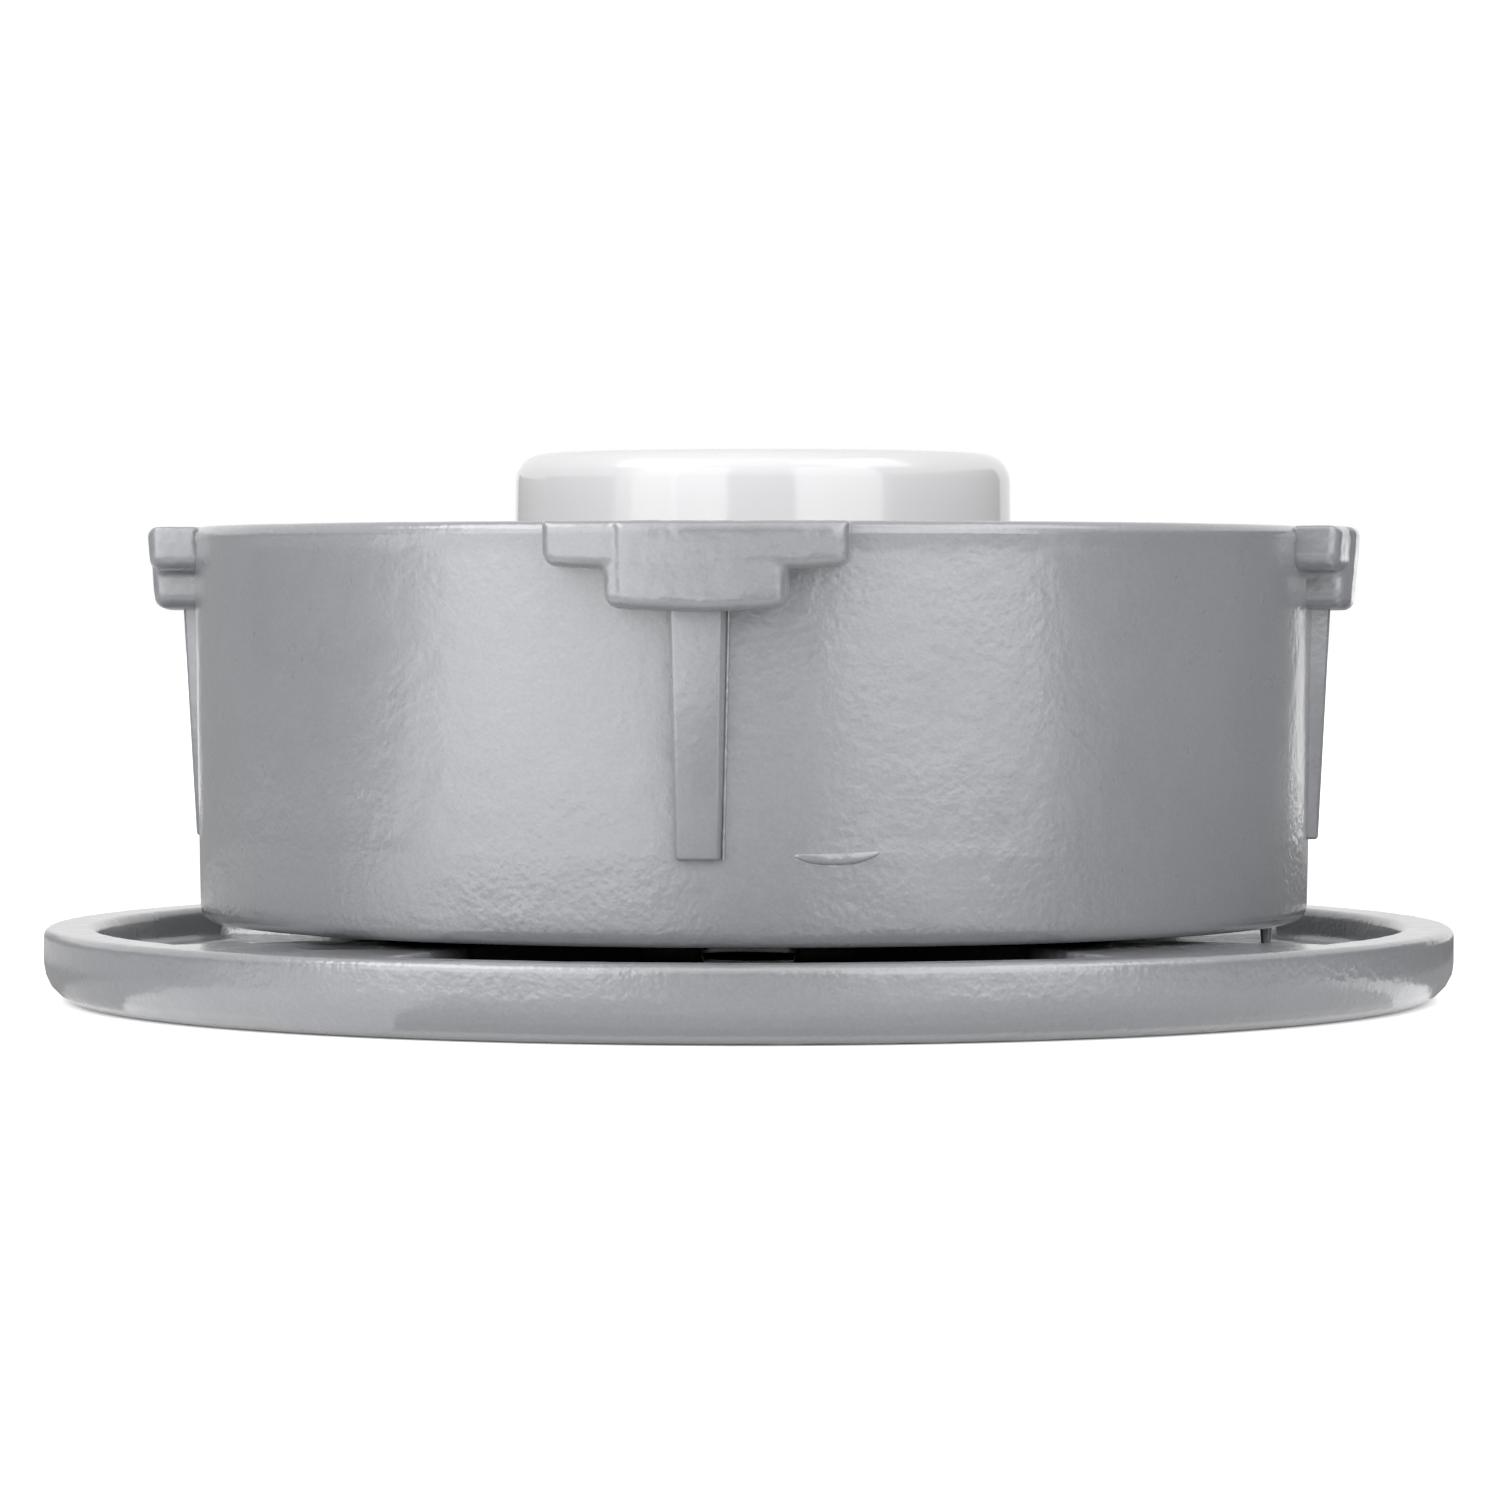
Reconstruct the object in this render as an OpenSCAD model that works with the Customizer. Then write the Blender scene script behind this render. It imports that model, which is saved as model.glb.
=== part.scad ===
// Round floor drain grate with the water trap that hangs under it.
// It lies face down, as on a bench: the grate's walking face is at z = 0 and the trap stands above it.
// Millimetres, +Z up, origin at the centre of the grate's face.

/* [Grate] */
// How far the grate reaches past the housing, all round
rim_reach = 15; // [12:0.5:20]
// Thickness of the grate at its rim
grate_t = 7.3; // [6.5:0.1:10]
// Width of the rim around the recess
rim_w = 5.2; // [4:0.1:8]
// Thickness of the bars and of the recess floor
floor_t = 4; // [3:0.1:5]
// Round on the outer edge of the walking face
face_edge_r = 4; // [1:0.1:5]
// Round on both edges of the rim
rim_edge_r = 0.9; // [0.2:0.1:1.2]
// How far the webs lie below the rim
web_drop = 0.2; // [0.1:0.1:0.5]
// Width of the four webs at the hub
web_w = 16; // [14:0.5:19]
// Width of the webs where they meet the rim
web_flare_w = 33; // [26:0.5:40]
// Length of the flared end of a web
web_flare_l = 20; // [10:0.5:20]
// Outside diameter of the hub
hub_d = 46; // [40:0.5:55]
// Width of the raised ring on the hub
hub_ring_w = 4; // [2:0.1:6]
// Width of the notches that let water into the hub
hub_notch_w = 9; // [6:0.1:12]
// Diameter of the lifting hole in the hub
lift_hole_d = 12; // [8:0.5:20]
// Diameter of the two holes for a turning key
key_hole_d = 8; // [6:0.5:9]
// How far outside the middle of the ring bar the key holes are
key_hole_out = 2; // [0:0.5:4]
// Width of the straight slots inside the ring bar
slot_w = 5; // [4:0.1:6]
// Angle between the straight slots
slot_angle = 12.5; // [11.5:0.5:13]
// Width of the curved slots outside the ring bar
outer_slot_w = 7; // [5:0.1:8]
// Width of the ring bar between the inner and outer slots
ring_bar_w = 5; // [4:0.1:6]
// Least width of the bars between slots
bar_w = 2.5; // [2:0.1:3]
// Metal left between a slot and the hub or a web
slot_margin = 1.5; // [1:0.1:2.5]

/* [Housing] */
// Outside diameter of the housing at its deck
housing_d = 110; // [100:0.5:118]
// How far the wall leans out between the deck and the mouth
wall_flare = 0.7; // [0:0.1:2]
// Height of the housing
housing_h = 38.9; // [34:0.1:50]
// Gap between the grate's rim and the housing's deck
seat_gap = 0.6; // [0.5:0.1:3]
// Wall thickness of the housing
wall_t = 4; // [3:0.1:6]
// Thickness of the deck
deck_t = 3; // [2.5:0.1:5]
// Round on the outer edge of the deck
deck_edge_r = 1.4; // [0.5:0.1:2.5]
// Round on the edges of the mouth
mouth_edge_r = 0.5; // [0.2:0.1:1]
// Round inside, between the deck and the wall
inner_r = 3; // [1:0.1:5]
// How far the housing sits to one side within its screw holes
housing_shift = 0.5; // [0:0.1:0.5]
// How far the lugs are turned from the grate's own quarters
housing_turn = -5.3; // [-10:0.1:10]

/* [Locking lugs] */
// How far the lugs stand out from the mouth
lug_out = 4.55; // [3:0.05:8]
// Width of a lug's upper step
lug_w = 27.6; // [20:0.1:34]
// Height of a lug's upper step
lug_h = 4; // [3:0.1:6]
// Width of a lug's lower block
block_w = 15.9; // [10:0.1:19]
// Height of a lug's lower block
block_h = 3.75; // [3:0.1:6]
// Draft on the outer face of a lug, in degrees
lug_draft = 5; // [0:0.5:6]
// Length of the rib under a lug
rib_l = 23.1; // [16:0.1:24]
// Width of the rib at the lug
rib_w = 5.6; // [4:0.1:8]
// Width of the rib at its tip
rib_tip_w = 4.5; // [3:0.1:6]
// How far the rib stands out from the wall at the lug
rib_out = 1.75; // [1:0.1:2.5]
// How far the rib stands out from the wall at its tip
rib_tip_out = 0.95; // [0.3:0.05:1]

/* [Support post] */
// How far the post stands inside the deck's edge
post_inset = 4; // [3:0.1:8]
// Width of the post along that circle
post_w = 3; // [2:0.1:6]
// Thickness of the post at the deck
post_t = 1.3; // [1:0.1:3]
// Thickness of the post at its foot
post_foot_t = 0.7; // [0.5:0.1:1.5]

/* [Dip tube] */
// Outside diameter of the dip tube
tube_d = 32; // [28:0.5:36]
// Wall thickness of the dip tube
tube_wall = 2; // [1.5:0.1:4]
// Width of the flange around the tube
flange_w = 4; // [3.5:0.1:6]
// Thickness of the tube's flange
flange_t = 2; // [1.5:0.1:3]
// How far the flange lies inside the deck's lower face
flange_inset = 0.2; // [0.1:0.1:0.5]
// Thickness of the rubber gasket under the flange
gasket_t = 1.5; // [1:0.1:2.5]
// Width of the boss around the flange's seat
boss_w = 5.7; // [4:0.1:7]
// Thickness of the deck at that boss
boss_t = 6; // [6:0.1:9]
// How far the port lies to one side of the housing's middle
port_shift = 0.9; // [0:0.1:1]
// Width of the slip washer around the tube
slip_washer_w = 5; // [4:0.1:7]
// Thickness of the slip washer
slip_washer_t = 1; // [0.5:0.1:2]
// Width of the lock nut around the tube, at its flats
nut_w = 4.5; // [3:0.1:6]
// Thickness of the lock nut
nut_t = 4; // [3:0.1:6]

/* [Trap cup] */
// Width of the water space between the dip tube and the cup's closed end
cup_gap = 6.6; // [5:0.1:10]
// How far the cup's wall leans out between its closed end and its rim
cup_flare = 0.4; // [0.1:0.1:1]
// Wall thickness of the cup
cup_wall = 2; // [1.5:0.1:3]
// Thickness of the cup's closed end
cup_floor = 2.5; // [2:0.1:4]
// Round on the outer edge of the closed end
cup_edge_r = 2.75; // [1:0.05:4]
// Round inside the closed end
cup_inner_r = 1; // [0.5:0.1:3]
// How far the cup stands out of the housing's mouth
cup_proud = 7.3; // [4:0.1:12]
// Height of the overflow between the lock nut and the cup's rim
overflow_gap = 4.1; // [3:0.1:6]
// Height of the turn between the tube's end and the cup's floor
turn_gap = 6.6; // [5:0.1:10]

/* [Cup spider] */
// Height of the collar that snaps on the tube
collar_h = 8; // [6:0.1:10]
// Thickness of the collar around the tube
collar_t = 1.2; // [1:0.1:3]
// Distance from the tube's end to the collar
collar_setback = 4; // [3:0.1:6]
// How far the four vanes reach below the collar
vane_drop = 2; // [0.5:0.1:5]
// Bevel on the ends of the vanes that carry the cup
vane_bevel = 1.5; // [1.2:0.1:3]
// Thickness of a vane
vane_t = 1.6; // [1.2:0.1:2.5]
// Depth of the groove that the collar snaps into
groove_depth = 0.4; // [0.2:0.1:0.8]

/* [Screws] */
// How far the screws are inside the middle between the port's boss and the wall
screw_set_in = 0.5; // [0:0.1:2]
// Thread diameter of the screws
screw_d = 5; // [4:0.5:6]
// Length of the screws under the head
screw_l = 12; // [11:0.5:13]
// Diameter of the screw heads
head_d = 9; // [8:0.1:10]
// Height of the screw heads
head_h = 3.2; // [2.5:0.1:4]
// Width across the flats of the key socket
socket_af = 4; // [3:0.5:4]
// Depth of the key socket
socket_depth = 2; // [1:0.1:2.2]
// Diameter of the flat washers
washer_d = 10.6; // [10:0.1:12]
// Thickness of the flat washers
washer_t = 1; // [0.5:0.1:1.5]
// Diameter of the spring washers
spring_d = 8.8; // [8:0.1:10]
// Thickness of the spring washers
spring_t = 1.2; // [0.8:0.1:1.6]
// Diameter of the pads and bosses that the screws clamp
pad_d = 13; // [12:0.1:14]
// Height of the bosses above the deck
screw_boss_h = 2; // [1:0.1:3]

/* [Clearances] */
// Radial play of threads and snap fits
thread_play = 0.05; // [0.02:0.01:0.1]
// Radial play of the cup on its vanes
guide_play = 0.1; // [0.05:0.01:0.2]
// Radial play of the tube, its flange and its rings in the deck
port_play = 0.3; // [0.2:0.05:0.6]
// Radial play of the screws in the housing
screw_play = 0.75; // [0.7:0.05:1]
// Radial play of the washers on the screws
washer_play = 0.2; // [0.1:0.05:0.3]

/* [Hidden] */
$fn = 96;
QUARTERS = [0, 90, 180, 270];
SCREW_COUNT = 4;
// Steps in a rounded edge, and in a slot's long curve
ARC_STEPS = 6;
CURVE_STEPS = 12;
// How far a cut runs past the face that it opens
CUT = 1;
// How deep one shape is set into another that it joins
JOIN = 0.5;

CAST_GREY = [0.66, 0.67, 0.70];
STEEL_GREY = [0.78, 0.79, 0.80];
BRASS_YELLOW = [0.80, 0.66, 0.36];
RUBBER_BLACK = [0.10, 0.10, 0.11];
FIBRE_RED = [0.55, 0.22, 0.16];
CUP_WHITE = [0.95, 0.95, 0.95];
GUIDE_WHITE = [0.88, 0.88, 0.86];

// Housing and grate, seen from above
low_r = housing_d / 2;
mouth_r = low_r + wall_flare;
lug_r = mouth_r + lug_out;
grate_r = low_r + rim_reach;
rim_in_r = grate_r - rim_w;
web_top = grate_t - web_drop;
hub_r = hub_d / 2;
post_circle_r = low_r - post_inset;
ring_bar_in_r = post_circle_r - ring_bar_w / 2;
ring_bar_out_r = post_circle_r + ring_bar_w / 2;
outer_slot_r = (ring_bar_out_r + rim_in_r) / 2;
key_circle_r = post_circle_r + key_hole_out;
web_flare_r = rim_in_r - web_flare_l;
// Half the width of a web at a radius on its flared end
function web_half_w(r) =
    web_w / 2 + (web_flare_w - web_w) / 2 * max(0, r - web_flare_r) / web_flare_l;

// Heights, from the bench upwards
deck_z = grate_t + seat_gap;
deck_top = deck_z + deck_t;
mouth_z = deck_z + housing_h;
flange_z = deck_z + flange_inset;
gasket_z = flange_z + flange_t;
shelf_z = gasket_z + gasket_t;
boss_top = deck_z + boss_t;
nut_z = boss_top + slip_washer_t;
cup_rim_z = nut_z + nut_t + overflow_gap;
cup_top = mouth_z + cup_proud;
cup_h = cup_top - cup_rim_z;
cup_floor_z = cup_top - cup_floor;
tube_end = cup_floor_z - turn_gap;
collar_z = tube_end - collar_setback - collar_h;
vane_z = collar_z - vane_drop;
screw_boss_top = deck_top + screw_boss_h;
spring_z = screw_boss_top + washer_t;
head_z = spring_z + spring_t;
screw_tip = head_z - screw_l;

// Port, dip tube, cup and screws, seen from above
tube_r = tube_d / 2;
bore_r = tube_r - tube_wall;
flange_r = tube_r + flange_w;
port_r = tube_r + port_play;
seat_r = flange_r + port_play;
boss_r = seat_r + boss_w;
screw_circle_r = (boss_r + low_r - wall_t) / 2 - screw_set_in;
cup_end_r = tube_r + cup_gap + cup_wall;
cup_rim_r = cup_end_r + cup_flare;
port_x = housing_shift + port_shift;
groove_r = tube_r - groove_depth;
// Inside radius of the cup at a height
function cup_in_r(z) = cup_rim_r - cup_wall - cup_flare * (z - cup_rim_z) / cup_h;

// The point at a radius and an angle
function polar(r, a) = r * [cos(a), sin(a)];
// Points on an arc about c, from angle a0 to a1; skip leaves out that many points at each end
function arc(c, r, a0, a1, steps = ARC_STEPS, skip = 0) =
    [for (i = [skip : steps - skip]) c + polar(r, a0 + (a1 - a0) * i / steps)];

// A flat ring
module ring(r_out, r_in, h) {
    difference() {
        cylinder(r = r_out, h = h);
        translate([0, 0, -CUT]) cylinder(r = r_in, h = h + 2 * CUT);
    }
}

// Puts children on the middle line of each of the four webs
module on_webs() {
    for (a = QUARTERS) rotate(a + 45) children();
}

// Puts children at screw number i
module at_screw(i) {
    rotate(i * 90 - 45) translate([screw_circle_r, 0, 0]) children();
}

module at_housing() {
    translate([housing_shift, 0, 0]) children();
}

module at_port() {
    translate([port_x, 0, 0]) children();
}

// ---- Grate ----

module grate_rim() {
    outline = concat(
        [[0, 0]],
        arc([grate_r - face_edge_r, face_edge_r], face_edge_r, -90, 0),
        arc([grate_r - rim_edge_r, grate_t - rim_edge_r], rim_edge_r, 0, 90),
        arc([rim_in_r + rim_edge_r, grate_t - rim_edge_r], rim_edge_r, 90, 180),
        [[rim_in_r, floor_t], [0, floor_t]]
    );
    rotate_extrude() polygon(outline);
}

// The outline of a web, which gets wider where it meets the rim
module web_outline() {
    reach = rim_in_r + rim_w / 2;
    end_w = 2 * web_half_w(reach);
    polygon([
        [0, -web_w / 2],
        [web_flare_r, -web_w / 2],
        [reach, -end_w / 2],
        [reach, end_w / 2],
        [web_flare_r, web_w / 2],
        [0, web_w / 2]
    ]);
}

// The hub and the four webs, up to the height of the webs
module hub_and_webs() {
    linear_extrude(web_top) intersection() {
        union() {
            circle(r = hub_r);
            on_webs() web_outline();
        }
        circle(r = rim_in_r + rim_w / 3);
    }
}

// A straight slot along +X with round ends, centred on the radii r0 and r1
module inner_slot(r0, r1) {
    translate([0, 0, -CUT]) {
        for (r = [r0, r1]) translate([r, 0, 0]) cylinder(d = slot_w, h = grate_t + 2 * CUT);
        translate([r0, -slot_w / 2, 0]) cube([r1 - r0, slot_w, grate_t + 2 * CUT]);
    }
}

// A curved slot with round ends, centred on the angles a0 and a1
module outer_slot(a0, a1) {
    half = outer_slot_w / 2;
    outline = concat(
        arc([0, 0], outer_slot_r + half, a0, a1, CURVE_STEPS),
        arc(polar(outer_slot_r, a1), half, a1, a1 + 180, skip = 1),
        arc([0, 0], outer_slot_r - half, a1, a0, CURVE_STEPS),
        arc(polar(outer_slot_r, a0), half, a0 + 180, a0 + 360, skip = 1)
    );
    translate([0, 0, -CUT]) linear_extrude(grate_t + 2 * CUT) polygon(outline);
}

// The slots of one quarter, about the +X direction
module quarter_slots() {
    last_r = ring_bar_in_r - slot_w / 2;
    clear_of_middle_r = (slot_w + bar_w) / sin(slot_angle);
    clear_of_web_r = (web_w / 2 + slot_margin + slot_w / 2) / sin(45 - 2 * slot_angle);
    inner_slot(hub_r + slot_margin + slot_w / 2, last_r);
    for (side = [-1, 1]) {
        rotate(side * slot_angle) inner_slot(clear_of_middle_r, last_r);
        rotate(side * 2 * slot_angle) inner_slot(max(clear_of_middle_r, clear_of_web_r), last_r);
    }
    near = asin((outer_slot_w / 2 + bar_w / 2) / outer_slot_r);
    far = 45 - asin((web_half_w(outer_slot_r) + slot_margin + outer_slot_w / 2) / outer_slot_r);
    outer_slot(near, far);
    outer_slot(-far, -near);
}

module grate_plate() {
    color(CAST_GREY) difference() {
        union() {
            grate_rim();
            hub_and_webs();
            on_webs() translate([screw_circle_r, 0, 0]) cylinder(d = pad_d, h = deck_z);
        }
        translate([0, 0, floor_t]) cylinder(r = hub_r - hub_ring_w, h = grate_t);
        for (a = QUARTERS) rotate(a) {
            translate([0, -hub_notch_w / 2, floor_t]) cube([hub_r + CUT, hub_notch_w, grate_t]);
            quarter_slots();
        }
        translate([0, 0, -CUT]) cylinder(d = lift_hole_d, h = grate_t);
        on_webs() translate([screw_circle_r, 0, screw_tip - CUT]) {
            cylinder(d = screw_d + 2 * thread_play, h = grate_t + deck_t);
        }
        for (a = [45, 225]) rotate(a) translate([key_circle_r, 0, -CUT]) {
            cylinder(d = key_hole_d, h = grate_t + 2 * CUT);
        }
    }
}

// ---- Housing ----

module housing_shell() {
    outline = concat(
        [[0, deck_z]],
        arc([low_r - deck_edge_r, deck_z + deck_edge_r], deck_edge_r, -90, 0),
        arc([mouth_r - mouth_edge_r, mouth_z - mouth_edge_r], mouth_edge_r, 0, 90),
        arc([mouth_r - wall_t + mouth_edge_r, mouth_z - mouth_edge_r], mouth_edge_r, 90, 180),
        arc([low_r - wall_t - inner_r, deck_top + inner_r], inner_r, 0, -90),
        [[0, deck_top]]
    );
    rotate_extrude() polygon(outline);
}

// The narrow rib under a lug: its side outline crossed with its front outline
module lug_rib(top_z) {
    foot_z = top_z - rib_l;
    wall_foot_r = mouth_r - wall_flare * (mouth_z - foot_z) / housing_h;
    root = wall_foot_r - wall_t / 2;
    front_reach = mouth_r + rib_out + CUT;
    intersection() {
        rotate([90, 0, 0]) linear_extrude(rib_w, center = true) polygon([
            [root, foot_z],
            [wall_foot_r + rib_tip_out, foot_z],
            [mouth_r + rib_out, top_z + JOIN],
            [root, top_z + JOIN]
        ]);
        rotate([90, 0, 90]) linear_extrude(front_reach) polygon([
            [-rib_tip_w / 2, foot_z],
            [rib_tip_w / 2, foot_z],
            [rib_w / 2, top_z + JOIN],
            [-rib_w / 2, top_z + JOIN]
        ]);
    }
}

// One locking lug in the +X direction: a wide step over a narrower block, with one drafted outer face
module locking_lug() {
    start = mouth_r - wall_t / 2;
    total_h = lug_h + block_h;
    block_z = mouth_z - total_h;
    intersection() {
        translate([0, 0, block_z]) {
            cylinder(r1 = lug_r - total_h * tan(lug_draft), r2 = lug_r, h = total_h);
        }
        translate([start, 0, 0]) {
            translate([0, -lug_w / 2, mouth_z - lug_h]) cube([lug_r - start, lug_w, lug_h]);
            translate([0, -block_w / 2, block_z]) cube([lug_r - start, block_w, total_h]);
        }
    }
    lug_rib(block_z);
}

// A thin post that steadies the deck on the grate's ring bar
module support_post() {
    rotate([90, 0, 0]) linear_extrude(post_w, center = true) polygon([
        [post_circle_r - post_foot_t / 2, floor_t],
        [post_circle_r + post_foot_t / 2, floor_t],
        [post_circle_r + post_t / 2, deck_z],
        [post_circle_r + post_t / 2, deck_z + JOIN],
        [post_circle_r - post_t / 2, deck_z + JOIN],
        [post_circle_r - post_t / 2, deck_z]
    ]);
}

module trap_housing() {
    color(CAST_GREY) difference() {
        union() {
            at_housing() {
                housing_shell();
                for (a = QUARTERS) rotate(a + housing_turn) locking_lug();
                rotate(housing_turn) support_post();
            }
            at_port() translate([0, 0, deck_z + JOIN]) cylinder(r = boss_r, h = boss_t - JOIN);
            for (i = [1 : SCREW_COUNT]) at_screw(i) {
                translate([0, 0, deck_z + JOIN]) cylinder(d = pad_d, h = screw_boss_top - deck_z - JOIN);
            }
        }
        at_port() {
            translate([0, 0, deck_z - CUT]) cylinder(r = port_r, h = boss_t + 2 * CUT);
            translate([0, 0, deck_z - CUT]) cylinder(r = seat_r, h = shelf_z - deck_z + CUT);
        }
        for (i = [1 : SCREW_COUNT]) at_screw(i) {
            translate([0, 0, deck_z - CUT]) {
                cylinder(r = screw_d / 2 + screw_play, h = deck_t + screw_boss_h + 2 * CUT);
            }
        }
    }
}

// ---- Dip tube and its rings ----

module dip_tube() {
    bevel = tube_wall / 4;
    outline = [
        [bore_r + bevel, flange_z],
        [flange_r, flange_z],
        [flange_r, gasket_z],
        [tube_r, gasket_z],
        [tube_r, collar_z],
        [groove_r, collar_z],
        [groove_r, collar_z + collar_h],
        [tube_r, collar_z + collar_h],
        [tube_r, tube_end - bevel],
        [tube_r - bevel, tube_end],
        [bore_r, tube_end],
        [bore_r, flange_z + bevel]
    ];
    color(BRASS_YELLOW) at_port() rotate_extrude() polygon(outline);
}

module tube_gasket() {
    color(RUBBER_BLACK) at_port() translate([0, 0, gasket_z]) ring(flange_r, port_r, gasket_t);
}

module tube_slip_washer() {
    color(FIBRE_RED) at_port() translate([0, 0, boss_top]) {
        ring(tube_r + slip_washer_w, port_r, slip_washer_t);
    }
}

module tube_lock_nut() {
    color(BRASS_YELLOW) at_port() translate([0, 0, nut_z]) difference() {
        cylinder(r = (tube_r + nut_w) / cos(30), h = nut_t, $fn = 6);
        translate([0, 0, -CUT]) cylinder(r = tube_r + thread_play, h = nut_t + 2 * CUT);
    }
}

// ---- Cup and its guide ----

// The cup slides over the vanes until its floor rests on their ends
module cup_spider() {
    collar_r = tube_r + collar_t;
    root = (groove_r + collar_r) / 2;
    low_r = cup_in_r(vane_z) - guide_play;
    high_r = cup_in_r(cup_floor_z - vane_bevel) - guide_play;
    vane = [
        [root, collar_z],
        [collar_r, vane_z],
        [low_r, vane_z],
        [high_r, cup_floor_z - vane_bevel],
        [high_r - vane_bevel, cup_floor_z],
        [collar_r, cup_floor_z],
        [collar_r, collar_z + collar_h],
        [root, collar_z + collar_h]
    ];
    color(GUIDE_WHITE) at_port() {
        translate([0, 0, collar_z]) ring(collar_r, groove_r + thread_play, collar_h);
        on_webs() rotate([90, 0, 0]) linear_extrude(vane_t, center = true) polygon(vane);
    }
}

module trap_cup() {
    in_r = cup_end_r - cup_wall;
    outline = concat(
        [[cup_rim_r - cup_wall, cup_rim_z], [cup_rim_r, cup_rim_z]],
        arc([cup_end_r - cup_edge_r, cup_top - cup_edge_r], cup_edge_r, 0, 90),
        [[0, cup_top], [0, cup_floor_z]],
        arc([in_r - cup_inner_r, cup_floor_z - cup_inner_r], cup_inner_r, 90, 0)
    );
    color(CUP_WHITE) at_port() rotate_extrude() polygon(outline);
}

// ---- Screws and washers ----

module deck_screw(i) {
    color(STEEL_GREY) at_screw(i) difference() {
        union() {
            translate([0, 0, screw_tip]) cylinder(d = screw_d, h = screw_l + JOIN);
            translate([0, 0, head_z]) cylinder(d = head_d, h = head_h);
        }
        translate([0, 0, head_z + head_h - socket_depth]) {
            cylinder(r = socket_af / 2 / cos(30), h = socket_depth + CUT, $fn = 6);
        }
    }
}

module flat_washer(i) {
    color(STEEL_GREY) at_screw(i) translate([0, 0, screw_boss_top]) {
        ring(washer_d / 2, screw_d / 2 + washer_play, washer_t);
    }
}

// A spring washer is split, and the split faces the middle of the grate
module spring_washer(i) {
    color(STEEL_GREY) at_screw(i) translate([0, 0, spring_z]) difference() {
        ring(spring_d / 2, screw_d / 2 + washer_play, spring_t);
        translate([-spring_d, -spring_t / 4, -CUT]) cube([spring_d, spring_t / 2, spring_t + 2 * CUT]);
    }
}

grate_plate();
trap_housing();
dip_tube();
tube_gasket();
tube_slip_washer();
tube_lock_nut();
cup_spider();
trap_cup();
for (i = [1 : SCREW_COUNT]) {
    deck_screw(i);
    flat_washer(i);
    spring_washer(i);
}
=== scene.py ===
import math

import bmesh
import bpy
from bpy.props import FloatProperty, FloatVectorProperty, IntProperty, PointerProperty
from mathutils import Matrix, Vector, noise


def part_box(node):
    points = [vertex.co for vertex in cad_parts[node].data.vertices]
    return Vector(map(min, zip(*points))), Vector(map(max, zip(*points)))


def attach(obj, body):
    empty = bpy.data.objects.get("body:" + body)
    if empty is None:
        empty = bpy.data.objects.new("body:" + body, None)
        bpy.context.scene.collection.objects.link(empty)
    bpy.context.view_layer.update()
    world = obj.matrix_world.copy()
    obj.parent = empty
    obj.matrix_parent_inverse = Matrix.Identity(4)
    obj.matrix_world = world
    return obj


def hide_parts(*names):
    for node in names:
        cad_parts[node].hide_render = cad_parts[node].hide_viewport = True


bl_info = {
    "name": "Floor drain grate",
    "version": (1, 0, 0),
    "blender": (4, 5, 0),
    "location": "3D View > Sidebar > Drain",
    "description": "Cast floor drain grate with its trap housing, dip tube and trap cup",
    "category": "Add Mesh",
}

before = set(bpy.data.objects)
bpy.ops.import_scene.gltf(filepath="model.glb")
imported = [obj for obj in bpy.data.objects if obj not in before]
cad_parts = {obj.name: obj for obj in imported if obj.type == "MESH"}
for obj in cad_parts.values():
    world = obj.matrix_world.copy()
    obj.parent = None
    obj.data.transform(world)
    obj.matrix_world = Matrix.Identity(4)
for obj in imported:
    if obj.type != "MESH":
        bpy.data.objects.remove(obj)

GRATE = "grate_assembly"
CUP = "trap_cup"
UP = Vector((0, 0, 1))
MM = 0.001
WHITE = (1, 1, 1, 1)
MERGE = 0.002 * MM  # points nearer to each other than this become one
DIAGONAL = math.radians(45)
NO_AREA = 1e-14  # a face smaller than this, in square metres, is dropped
ROUND_STEPS = 5  # edges in each round corner of an outline


def middle(node):
    """The middle of a CAD node, seen from above, at height 0."""
    low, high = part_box(node)
    return Vector(((low.x + high.x) / 2, (low.y + high.y) / 2, 0))


def length(name, description, default):
    return FloatProperty(name=name, description=description, default=default,
                         unit="LENGTH", subtype="DISTANCE", precision=5)


def amount(name, description, default, top=1.0):
    return FloatProperty(name=name, description=description, default=default, min=0.0, max=top)


def turn(name, description, degrees):
    return FloatProperty(name=name, description=description, default=math.radians(degrees),
                         unit="ROTATION", subtype="ANGLE")


def colour(name, description, default):
    return FloatVectorProperty(name=name, description=description, default=default,
                               size=3, min=0.0, max=1.0, subtype="COLOR")


grate_low, grate_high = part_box("grate_plate")
housing_low, housing_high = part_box("trap_housing")
cup_low, cup_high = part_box("trap_cup")
tube_low, tube_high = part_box("dip_tube")
gasket_low, gasket_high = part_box("tube_gasket")
ring_low, ring_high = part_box("tube_slip_washer")
_, nut_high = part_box("tube_lock_nut")
spider_low, spider_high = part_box("cup_spider")
washer_low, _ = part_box("flat_washer_1")
HOUSING_AT = Vector((0.5 * MM, 0, 0))  # the housing sits a little to the right on the grate
PORT_AT = middle("trap_cup")


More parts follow.
